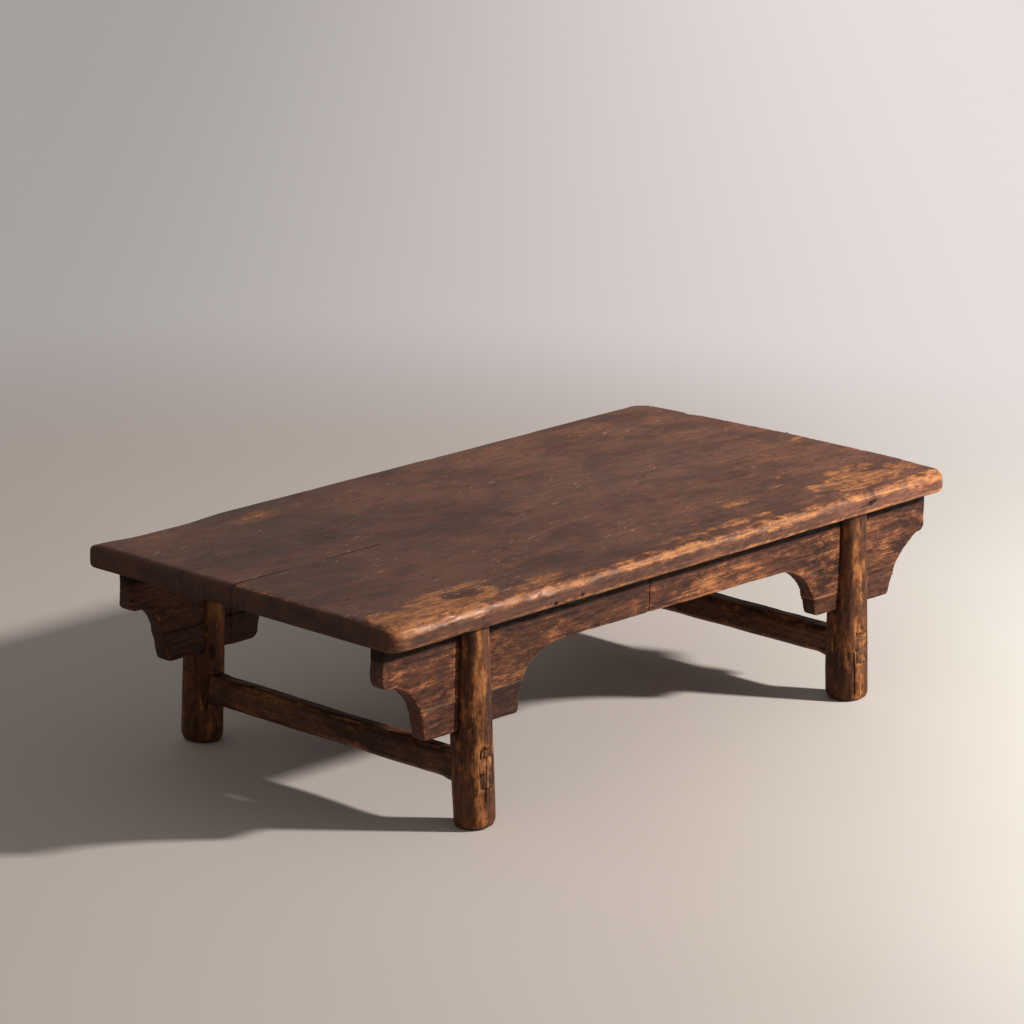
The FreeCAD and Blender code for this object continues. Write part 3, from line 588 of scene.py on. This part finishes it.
class Board(Piece):
    """One of the top's two boards, with places on it as they were before the wear."""

    def __init__(self, side):
        super().__init__(f"worn_top_{side}", [f"top_board_{side}"], BOARD_VOXEL)
        self.front, self.sign = side == "front", SIGNS[side]
        shape_rim(self.points)
        self.start = self.points.copy()
        self.x, self.y, self.z = self.start.T
        self.along, self.across, self.plan = (
            self.start * axes for axes in ((1, 0, 0), (0, 1, 0), (1, 1, 0)))
        self.edge = rim(self.x, self.y)[0]
        self.left, self.right = self.x + HALF_LENGTH, right_end(self.y) - self.x
        self.long_edge = HALF_WIDTH - self.sign * self.y
        self.upper = smooth_step(self.z, UNDER + 5, TOP - 4)
        self.flat = smooth_step(self.z, TOP - 3, TOP - 0.5)

    def plan_spot(self, place_x, place_y, reach_x, reach_y):
        """A mask about a place in plan."""
        return spot(self.plan, (place_x, place_y, 0), (reach_x, reach_y, 1))

    def patches(self, table, size, shift):
        """The strongest of a table's ragged patches, at each point."""
        total = np.zeros(len(self.start))
        for *place, amount in table:
            mask = ragged(self.plan_spot(*place), self.start, size, shift)
            total = np.maximum(total, amount * mask)
        return total

    def wear_outline(self):
        """Makes the outline uneven, from outside inwards."""
        points, start = self.points, self.start
        kept = 1 - self.plan_spot(-HALF_LENGTH, HALF_WIDTH, 40, 40)
        sway = 0.5 + 0.7 * noise(self.along, 150, 2.0 + self.sign)
        sway = sway + 0.25 * noise(start, (22, 22, 9), 4.0)
        points[:, Y] -= self.sign * np.clip(sway, 0, 3) * within(self.long_edge, 30, 30) * kept
        for distance, into, shift in ((self.left, 1, 6.0), (self.right, -1, 9.0)):
            sway = 0.4 + 0.5 * noise(self.across, 90, shift)
            sway = sway + 0.2 * noise(start, (12, 8, 14), shift)
            chips = smooth_step(noise(start, (30, 7, 9), shift + 3, 2), 0.5, 0.85) * self.upper
            points[:, X] += into * (np.clip(sway + chips, 0, 3) * within(distance, 14, 13) * kept)
        if not self.front:
            hollow = smooth_step(self.x, HOLLOW_START, HOLLOW_FULL) * (
                1 - smooth_step(self.x, HOLLOW_EASE, HOLLOW_END))
            points[:, Y] -= HOLLOW_DEPTH * hollow * within(self.long_edge, 34, 34)
            points[:, X] -= CHIP_DEPTH * spot(start, CHIP_PLACE, CHIP_REACH)

    def wear_face(self):
        """Shallow waves and dents, a softer fall to the long edge, and gouges in the rim."""
        points, start = self.points, self.start
        waves = 0.35 + 0.35 * noise(start, (240, 90, 60), 1.3)
        waves = waves + 0.12 * noise(start, (70, 12, 9), 8.1)
        dents = smooth_step(noise(start, (26, 15, 20), 12.0, 2), 0.55, 1.0) * 0.5
        points[:, Z] -= self.flat * (np.clip(waves, 0, 2) + dents)
        fall = within(self.long_edge, 26, 26) * self.upper
        points[:, Z] -= fall * (1.1 + 0.6 * noise(self.along, 70, 5.0))
        gouges = smooth_step(noise(start, (19, 9, 5), 17.0, 2), 0.45, 0.95)
        rim_zone = within(self.edge, 16, 12) * (1 if self.front else 0.5)
        self.push(-0.7 * gouges * rim_zone * (self.left > 6))

    def open_seam(self):
        """The seam between the boards, tight in places and open in others."""
        points, look = self.points, self.look
        gap = np.abs(self.y - SEAM)
        open_here = smooth_step(noise(self.along, 70, 14.0), -0.5, 0.4)
        open_here = np.maximum(open_here, 1 - smooth_step(self.x, -385, -340))
        near = (gap < SEAM_NEAR) & (self.z > TOP - 2.2)
        points[:, Y] = np.where(near, SEAM + self.sign * 0.05, points[:, Y])
        points[:, Z] = np.where(near, TOP - 0.3 - 0.9 * open_here, points[:, Z])
        depth = (0.5 + 0.5 * (self.x < -230)) * within(gap, 2.8, 2) * open_here * self.flat
        look[:, STAIN_AND_SHADE] += depth
        at_end = within(self.left, 4, 3) * within(gap, 1.5, 1.0)
        points[:, X] += 0.5 * at_end
        look[:, STAIN_AND_SHADE] += 0.5 * at_end

    def nick_front(self):
        """Nicks, a ragged hole and a crack in the front edge."""
        for nick_x, nick_z, size in FRONT_NICKS:
            place, reach = (nick_x, -HALF_WIDTH + 1, nick_z), (size, size * 1.5, size * 0.7)
            hit = spot(self.start, place, reach)
            hit *= np.clip(0.9 + 0.5 * noise(self.start, (3, 3, 3), 41.0, 2), 0, 1.5)
            self.points[:, Y] += hit * size * 1.5
            self.look[:, STAIN_AND_SHADE] += hit * 2.5
            self.shade += 0.8 * smooth_step(hit, 0.2, 0.7)
        crack = spot(self.start, CRACK_PLACE, CRACK_REACH)
        self.points[:, Y] += crack * CRACK_DEPTH
        self.look[:, STAIN_AND_SHADE] += crack * 1.2

    def paint(self):
        """Bare wood along the long edge and in patches, stains, dark ends and underside, and
        painted shade that darkens the left and lightens the right.
        """
        x, z, look, edge, flat = self.x, self.z, self.look, self.edge, self.flat
        face_depth, inboard = TOP - z, self.left > 8
        broken = noise(self.start, (40, 15, 12), 21.0)
        rough_patch = noise(self.start, (17, 9, 7), 29.0)
        if self.front:
            inner = smooth_step(20 - self.long_edge + 9 * broken, 0, 12)
            inner = inner * smooth_step(z, TOP - 12, TOP - 6)
            outer = smooth_step(14 - face_depth + 4 * broken, 0, 8) * within(edge, 8, 4)
            band = np.maximum(inner, outer) * (1 - smooth_step(-self.normals[:, X], 0.5, 0.85))
            strength = 0.48 + 0.16 * noise(self.along, 90, 23.0)
            strength = strength + 0.06 * smooth_step(x, -100, 200) + 0.26 * rough_patch
            look[:, WEAR_AND_HIGHLIGHT] += 0.42 * self.plan_spot(-438, -214, 22, 20) * (z > UNDER + 8)
            look[:, WEAR_AND_HIGHLIGHT] += 0.16 * within(edge, 6, 4) * (self.left > 4)
        else:
            band = smooth_step(12 - self.long_edge + 8 * broken, 0, 14)
            band = band * smooth_step(z, UNDER + 9, TOP - 8)
            strength = 0.26 + 0.24 * noise(self.along, 130, 23.0) + 0.2 * rough_patch
        look[:, WEAR_AND_HIGHLIGHT] += band * np.clip(strength, 0.05, 0.85)

        bared = self.patches(TOP_WEAR, (21, 11, 9), 33.0) * flat
        look[:, WEAR_AND_HIGHLIGHT] = np.maximum(look[:, WEAR_AND_HIGHLIGHT], bared)
        stain = self.patches(TOP_STAINS, (13, 8, 7), 43.0) * flat
        look[:, STAIN_AND_SHADE] += stain * 0.45
        look[:, WEAR_AND_HIGHLIGHT] -= stain * 0.5
        low_arris = within(np.abs(z - UNDER - 3), 4, 3) * within(edge, 6, 5)
        look[:, WEAR_AND_HIGHLIGHT] += 0.42 * low_arris * inboard
        film = sum(self.plan_spot(*cloud) for cloud in FILM_CLOUDS)
        look[:, GREY] += 0.3 * np.clip(film, 0, 1) * flat
        end_face = within(self.left, 3.5, 2.5) * (1 - smooth_step(z, TOP - 3.5, TOP - 0.5))
        look[:, GREY] += 0.08 * end_face
        look[:, WEAR_AND_HIGHLIGHT] -= 0.4 * end_face
        look[:, WEAR_AND_HIGHLIGHT] += 0.2 * within(np.abs(z - UNDER - 2), 3, 2) * end_face
        beneath = z < UNDER + 1.5
        look[:, GREY] = np.where(beneath, 0.4, look[:, GREY])
        low_face = smooth_step(face_depth, 11, 17) * within(edge, 5, 3) * inboard
        # Painted shade: darker towards the left end and lighter towards the right, as the lamp's
        # light falls off; bared wood takes less of it.
        painted_falloff = 0.32 - 0.62 * smooth_step(x, -360, 470)
        shade = painted_falloff * (1 - 0.9 * np.maximum(band, bared)) + 0.22 * end_face
        self.shade += shade + 0.12 * beneath + 0.05 * low_face
        if self.front:
            shine = smooth_step(x, -445, -425) * (1 - smooth_step(x, -235, -190))
            shine = shine * smooth_step(rough_patch, -0.7, 0.2)
            look[:, POLISH] += 0.85 * shine * within(edge, 14, 5)
            look[:, WEAR_AND_HIGHLIGHT] += 0.36 * shine * band


def top_board(side, material):
    board = Board(side)
    board.wear_outline()
    board.wear_face()
    board.open_seam()
    if board.front:
        board.nick_front()
    board.paint()
    board.finish(material, "top_wood")


# The aprons and spandrels

FINE_VOXEL, BACK_VOXEL = 1.2, 1.4
JOINT_X = -34  # The front apron's butt joint, which parts the left side's sizes from the right's
HOUSING_EDGES = (  # Where a front housing has opened, and how far at the top and at its foot
    (-330.6, -3.4, -3.4), (283.4, 3.3, 7.4))
HOUSING_FOOT = 106
SEAM_HEIGHTS = {"left": 140.0, "right": 128.5}
SEAM_REACH = 1.4  # Points this near a glued seam close it
SEAM_LAPS = {"apron": (-0.5, 9.97), "spandrel": (0.5, 9.93)}  # Past the seam, and half thickness
APRON_RUB = {"left": 0.3, "right": 0.38}
BLOCK_END = 320  # The right inner spandrel shows as a darker block up to here


def apron(node, material, voxel=FINE_VOXEL):
    """An apron or spandrel. Its front housings are drawn to where the wood has shrunk."""
    piece = Piece(f"worn_{node}", [node], voxel)
    points, look = piece.points, piece.look
    start = points.copy()
    x, y, z = start.T
    outer = np.abs(y) > APRON_MID
    for edge_x, at_top, at_foot in HOUSING_EDGES:
        shift = at_foot + (at_top - at_foot) * smooth_step(z, HOUSING_FOOT, UNDER)
        shift = shift * within(np.abs(x - edge_x), 24, 22) * (y < -APRON_MID)
        points[:, X] += shift
    face = np.abs(np.abs(y) - APRON_MID) > 9.0
    piece.push(-(0.2 + 0.25 * noise(start, (110, 40, 26), 2.2)) * face)
    at_left = x < JOINT_X
    seam_z = np.where(at_left, SEAM_HEIGHTS["left"], SEAM_HEIGHTS["right"])
    piece.crisp = np.where(np.abs(z - seam_z) < 5, 0, piece.crisp)
    piece.wear_edges(0.9, (34, 30, 13), 3.3, 0.3)

    # The glued seam closes to a line
    gap = np.abs(z - seam_z)
    off = np.abs(y) - APRON_MID
    closed = (gap < SEAM_REACH) & (np.abs(off) > 7.5)
    lap, depth = SEAM_LAPS[node.split("_")[0]]
    points[:, Z] = np.where(gap < SEAM_REACH, seam_z + lap, points[:, Z])
    points[:, Y] = np.where(closed, np.sign(y) * (APRON_MID + np.sign(off) * depth), points[:, Y])
    look[:, STAIN_AND_SHADE] += 0.35 * within(gap, 1.6, 1.2)

    # Paint: rubbed outside, grime and painted shadow under the top, dark along the legs, and in
    # the right inner spandrel a darker block with a painted highlight on its upper arris
    near_leg = np.abs(np.abs(x) - LEG_LINE)
    # Grime under the top's overhang, deepened into a painted shadow: less wear, more stain and
    # darker there.
    grime_and_shadow_under_top = smooth_step(z, UNDER - 20, UNDER - 12)
    rub = np.where(at_left, APRON_RUB["left"], APRON_RUB["right"])
    rub = rub + 0.16 * noise(start, (90, 60, 30), 6.1) + 0.16 * noise(start, (22, 12, 12), 16.1)
    rub = rub + 0.1 * within(near_leg, 60, 40) * (z > seam_z)
    rub = rub - 0.12 * (z < seam_z) - 0.06 * smooth_step(x, 325, 345) - 0.3 * grime_and_shadow_under_top
    look[:, WEAR_AND_HIGHLIGHT] += np.where(outer, rub, 0.18)
    look[:, STAIN_AND_SHADE] += 0.3 * within(np.abs(near_leg - 27), 5, 4) * (z < UNDER - 10)
    look[:, STAIN_AND_SHADE] += 0.6 * grime_and_shadow_under_top
    edge_side = np.abs(piece.normals[:, Y]) < 0.4
    look[:, GREY] += 0.2 * edge_side
    look[:, WEAR_AND_HIGHLIGHT] -= 0.12 * edge_side
    piece.shade += 0.06 + 0.28 * smooth_step(x, -330, -260) - 0.26 * smooth_step(x, -170, -20)
    piece.shade += 0.1 * smooth_step(x, 190, 250) + 0.35 * grime_and_shadow_under_top + np.where(outer, 0, 0.1)
    inner_right = ~at_left & (x < BLOCK_END)
    block = (z < SEAM_HEIGHTS["right"]) & inner_right
    # Painted highlight: a pale line along the darker block's upper arris, where light catches it.
    painted_arris_highlight = within(np.abs(z - SEAM_HEIGHTS["right"] + 1.2), 1.4, 1) * inner_right
    piece.shade += 0.2 * block * (1 - painted_arris_highlight)
    look[:, WEAR_AND_HIGHLIGHT] += 0.8 * painted_arris_highlight
    piece.finish(material, "apron_wood")


# The legs, with the hand of the maker in their facets

LEG_RADIUS, MOST_RADIUS = 23.0, 25.8
LEG_SHAPES = {  # Radius at foot and top, and squareness: 2 is round
    "front_left": (22.7, 22.4, 2.15), "front_right": (23.2, 22.3, 2.5),
    "back_left": (22.6, 22.2, 2.2), "back_right": (22.8, 22.0, 2.3),
}
LEG_BARED = {  # Angle and width of the bared side, and how much darker the leg is
    "front_left": (-112, 25, 0.1), "front_right": (-101, 17, 0.02),
    "back_left": (-60, 30, 0.25), "back_right": (60, 30, 0.02),
}
LEG_DENTS = {  # Angle and height of a dent's middle, its reach in both, and its depth
    "front_left": ((-47, 200, 40, 60, 1.5), (133, 0, 40, 40, 1.6), (-47, 20, 40, 60, -1.2)),
    "front_right": ((-172, 180, 32, 62, 3.2), (133, 30, 45, 75, -3.0), (-47, 110, 30, 120, -0.6)),
    "back_left": ((-47, 160, 40, 90, 0.9), (133, 50, 50, 200, -2.0)),
    "back_right": (),
}
SPLITS = {  # Each split's line as (angle, height) points
    "front_left": (((-100, 89), (-104, 71), (-98, 45), (-101, 31)),
                   ((-84, 88), (-90, 86), (-104, 89), (-112, 84)), ((-112, 84), (-114, 60)),
                   ((-60, 135), (-63, 113), (-58, 101))),
    "front_right": (((-123, 57), (-120, 35), (-121, 9)), ((-112, 80), (-110, 62)),
                    ((-96, 86), (-90, 84))),
    "back_left": (((150, 155), (154, 95), (151, 45)),),
    "back_right": (((40, 165), (37, 85)),),
}
SPLIT_DEPTH = 1.6
FACETS, FACET_DEPTH = 11, 0.22


def leg_signs(key):
    """A leg's signs along X and Y."""
    side, end = key.split("_")
    return SIGNS[end], SIGNS[side]


def leg_axis(sign_y, z):
    """Where a leg's axis lies along Y at a height."""
    return sign_y * (APRON_MID + FOOT_OUT - SPLAY * z / UNDER)


def about_leg(points, sign_x, sign_y):
    """How far points are off a leg's axis along X and Y, with their angle and distance."""
    off_x = points[:, X] - sign_x * LEG_LINE
    off_y = points[:, Y] - leg_axis(sign_y, points[:, Z])
    return off_x, off_y, np.arctan2(off_y, off_x), np.hypot(off_x, off_y)


def leg_radius(key, angle, z):
    """A leg's worn radius at an angle about its axis and a height."""
    sign_x, sign_y = leg_signs(key)
    foot, top, square = LEG_SHAPES[key]
    seed = 10 * sign_x + 3 * sign_y
    ring = np.stack([np.cos(angle) * 30, np.sin(angle) * 30, z * 0.16], axis=1)
    radius = foot + (top - foot) * z / UNDER
    turned = angle + math.radians(12) * sign_x
    squared = np.abs(np.cos(turned)) ** square + np.abs(np.sin(turned)) ** square
    radius = radius * squared ** (-1 / square) / 2 ** (0.5 - 1 / square) ** 0.8
    radius = radius + FACET_DEPTH * np.cos(FACETS * angle + 1.5 * noise(ring, 40, seed))
    radius = radius + 0.45 * noise(ring, 24, seed + 1.5)
    for dent_angle, dent_z, reach_angle, reach_z, depth in LEG_DENTS[key]:
        radius = radius - depth * toward(angle, dent_angle, reach_angle) * np.exp(
            -((z - dent_z) / reach_z) ** 2)
    return np.minimum(radius, MOST_RADIUS)


def split_mask(key, angle, z):
    """How deep in one of a leg's splits a point lies, from 0 to 1."""
    deepest = np.zeros_like(z)
    for line in SPLITS[key]:
        for (angle_a, z_a), (angle_b, z_b) in itertools.pairwise(line):
            along_z = z_b - z_a
            along_a = math.radians(angle_b - angle_a) * LEG_RADIUS
            off = turn_from(angle, angle_a) * LEG_RADIUS
            length = along_z ** 2 + along_a ** 2
            part = np.clip((off * along_a + (z - z_a) * along_z) / length, 0, 1)
            distance = np.hypot(off - along_a * part, z - z_a - along_z * part)
            deepest = np.maximum(deepest, 1 - smooth_step(distance, 0.3, 1.4))
    return deepest


def leg(key, material):
    sign_x, sign_y = leg_signs(key)
    piece = Piece(f"worn_leg_{key}", [f"leg_{key}"], FINE_VOXEL)
    points, look = piece.points, piece.look
    z = points[:, Z].copy()
    off_x, off_y, angle, reach = about_leg(points, sign_x, sign_y)
    skin = smooth_step(reach, 14, 20) * smooth_step(z, -1, 5)
    below = z < UNDER + 0.5
    split = split_mask(key, angle, z) * skin
    scale = 1 + (leg_radius(key, angle, z) / LEG_RADIUS - 1) * skin * below
    scale -= split * SPLIT_DEPTH / LEG_RADIUS
    points[:, X] = sign_x * LEG_LINE + off_x * scale
    points[:, Y] = leg_axis(sign_y, z) + off_y * scale
    piece.wear_edges(0.5, (9, 9, 30), 4.4, 0.2)

    # Paint: one side bared by hands and feet, the side next to it stained, which on the front
    # legs is the side away from the lamp, so there the stain is also painted shade
    bared_angle, bared_width, darker = LEG_BARED[key]
    around = np.stack([np.cos(angle) * LEG_RADIUS, np.sin(angle) * LEG_RADIUS, z], axis=1)
    bared = toward(angle, bared_angle, bared_width)
    bared = bared * (1 - 0.55 * smooth_step(z, 165, 200)) * (0.6 + 0.4 * smooth_step(z, 30, 90))
    patchy = 0.18 * noise(around, (7, 7, 60), 5) + 0.24 * noise(around, (12, 12, 22), 13.0)
    look[:, WEAR_AND_HIGHLIGHT] += (0.2 + 0.4 * bared + patchy) * (reach > 15)
    # Stain beside the bared side; on the front legs it is also painted shade on the side turned
    # from the lamp.
    away = toward(angle, bared_angle - 55, 30)
    look[:, STAIN_AND_SHADE] += 0.3 * away * smooth_step(z, 20, 60) + split
    look[:, STAIN_AND_SHADE] += 0.45 * smooth_step(noise(around, (8, 8, 26), 9), 0.3, 0.8)
    look[:, STAIN_AND_SHADE] += 0.5 * within(z, 6, 5)
    look[:, POLISH] = 0.1
    piece.shade += darker
    piece.finish(material, "leg_wood")


# The stretchers, with the ends of their tenons worn flush with the legs

RAIL_MIDDLE, RAIL_HALF_THICK, RAIL_HALF_HEIGHT = 61.5, 13.0, 17.0
RAIL_HALF_LENGTH, RAIL_FADE = 178, 16  # The part that is worn, between the legs
RAILS = {  # How flat a rail is, how far lifted, and how much its corners are drawn in
    "left": (1.0, 0.0, 0.04), "right": (0.965, 1.2, 0.0),
}
TENON_RECESS, WEDGE_RECESS = 0.5, 0.35
WEDGE_VOXEL, WEDGE_ROUNDS = 0.7, 4


def fit_to_legs(piece, end, recess):
    """Draws tenon ends back to the legs' worn surface."""
    sign_x, points = SIGNS[end], piece.points
    for side in ("front", "back"):
        sign_y = SIGNS[side]
        off_x, off_y, angle, reach = about_leg(points, sign_x, sign_y)
        mine = (points[:, Y] * sign_y > 0) & (np.abs(off_x) < 40)
        limit = leg_radius(f"{side}_{end}", angle, points[:, Z]) - recess
        outside = mine & (off_y * sign_y > 0) & (reach > limit)
        kept = np.sqrt(np.maximum(limit ** 2 - off_x ** 2, 1.0))
        drawn = leg_axis(sign_y, points[:, Z]) + sign_y * kept
        points[:, Y] = np.where(outside, drawn, points[:, Y])


def stretcher(end, material):
    piece = Piece(f"worn_stretcher_{end}", [f"stretcher_{end}"], FINE_VOXEL)
    points, look, sign_x = piece.points, piece.look, SIGNS[end]
    flat, lifted, drawn_in = RAILS[end]
    start = points.copy()
    x, y, z = start.T
    rail = within(np.abs(y), RAIL_HALF_LENGTH, RAIL_FADE)
    off_x, off_z = x - sign_x * LEG_LINE, z - RAIL_MIDDLE
    angle = np.arctan2(off_z / RAIL_HALF_HEIGHT, off_x / RAIL_HALF_THICK)
    ring = np.stack([off_x, y * 0.2, off_z], axis=1)
    squeeze = 0.95 + 0.05 * noise(ring, 16, 7.0 + sign_x) + 0.02 * np.cos(7 * angle)
    squeeze = squeeze - drawn_in * np.abs(np.sin(2 * angle))
    skin = np.hypot(off_x / RAIL_HALF_THICK, off_z / RAIL_HALF_HEIGHT)
    skin = smooth_step(skin, 0.6, 0.9) * rail
    sag = 0.8 * noise(start * (0, 1, 0), 120, 3.0 + sign_x) * rail
    points[:, X] = sign_x * LEG_LINE + off_x * (1 + (squeeze - 1) * skin)
    points[:, Z] = RAIL_MIDDLE + off_z * (1 + (squeeze * flat - 1) * skin) + sag * 0.6
    points[:, Z] += lifted * rail
    fit_to_legs(piece, end, TENON_RECESS)
    piece.wear_edges(0.5, (12, 40, 12), 2.7, 0.2)
    around = np.stack([np.cos(angle) * 13, y, np.sin(angle) * 15], axis=1)
    look[:, WEAR_AND_HIGHLIGHT] += 0.16 + 0.28 * noise(around, (9, 40, 9), 6.0)
    look[:, WEAR_AND_HIGHLIGHT] += 0.2 * smooth_step(np.sin(angle), 0.3, 0.9)
    look[:, STAIN_AND_SHADE] += 0.5 * smooth_step(noise(around, (8, 24, 8), 12.0), 0.1, 0.8)
    look[:, STAIN_AND_SHADE] += 0.2 * (np.abs(y) > 205)
    piece.finish(material, "stretcher_wood")


def wedges(material):
    piece = Piece("worn_wedges", ["stretcher_wedges"], WEDGE_VOXEL, WEDGE_ROUNDS)
    for end in ("left", "right"):
        fit_to_legs(piece, end, WEDGE_RECESS)
    piece.look[:, WEAR_AND_HIGHLIGHT] = 0.5
    piece.shade += 0.2
    piece.finish(material, "raw_wood")


# The table

top_wood = wood(
    "top_wood", X, patina=(srgb(72, 44, 36), srgb(111, 71, 56)),
    honey=(srgb(126, 77, 50), srgb(172, 116, 74)), spread=1.15, level=1.7, mottle=0.85,
    flecked=0.5, lined=0.4, scratched=0.42, gloss=(0.46, 0.66), specular=0.28)
apron_wood = wood(
    "apron_wood", X, patina=(srgb(50, 29, 25), srgb(88, 52, 40)),
    honey=(srgb(112, 66, 42), srgb(156, 102, 66)), lined=0.6, bump=0.5)
leg_wood = wood(
    "leg_wood", Z, patina=(srgb(56, 33, 23), srgb(96, 58, 38)),
    honey=(srgb(120, 72, 40), srgb(166, 108, 62)), spread=1.5, bump=0.5)
stretcher_wood = wood(
    "stretcher_wood", Y, patina=(srgb(58, 37, 28), srgb(98, 64, 45)),
    honey=(srgb(118, 72, 44), srgb(158, 106, 64)), spread=1.5, bump=0.5)
raw_wood_x = wood(
    "raw_wood_x", X, patina=(srgb(92, 62, 40), srgb(120, 82, 54)),
    honey=(srgb(150, 104, 66), srgb(176, 128, 84)))
raw_wood_y = wood(
    "raw_wood_y", Y, patina=(srgb(84, 56, 38), srgb(112, 76, 50)),
    honey=(srgb(140, 96, 60), srgb(166, 118, 76)))
bamboo = wood(
    "bamboo", Z, patina=(srgb(150, 118, 70), srgb(176, 144, 92)),
    honey=(srgb(186, 156, 104), srgb(204, 176, 124)), bump=0.2)

for side in ("front", "back"):
    top_board(side, top_wood)
apron("apron_front_left", apron_wood)
apron("apron_front_right", apron_wood)
apron("apron_back", apron_wood, BACK_VOXEL)
for side in ("front", "back"):
    for end in ("left", "right"):
        apron(f"spandrel_{side}_{end}", apron_wood)
        leg(f"{side}_{end}", leg_wood)
for end in ("left", "right"):
    stretcher(end, stretcher_wood)
wedges(raw_wood_y)

HIDDEN_WOOD = {"batten_left": raw_wood_y, "batten_right": raw_wood_y, "seam_dowels": raw_wood_y,
               "apron_joint_key": raw_wood_x, "apron_pins": bamboo}
for node, material in HIDDEN_WOOD.items():
    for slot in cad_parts[node].material_slots:
        slot.material = material

# The floor

FLOOR_HALF = 12.0
floor_mesh = bpy.data.meshes.new("floor")
floor_mesh.from_pydata([(x * FLOOR_HALF, y * FLOOR_HALF, 0) for x, y in
                        ((-1, -1), (1, -1), (1, 1), (-1, 1))], [], [(0, 1, 2, 3)])
floor_mesh.materials.append(floor_material())
floor = bpy.data.objects.new("floor", floor_mesh)
bpy.context.scene.collection.objects.link(floor)

set_camera()
set_light()
bpy.context.scene.view_settings.view_transform = "Standard"
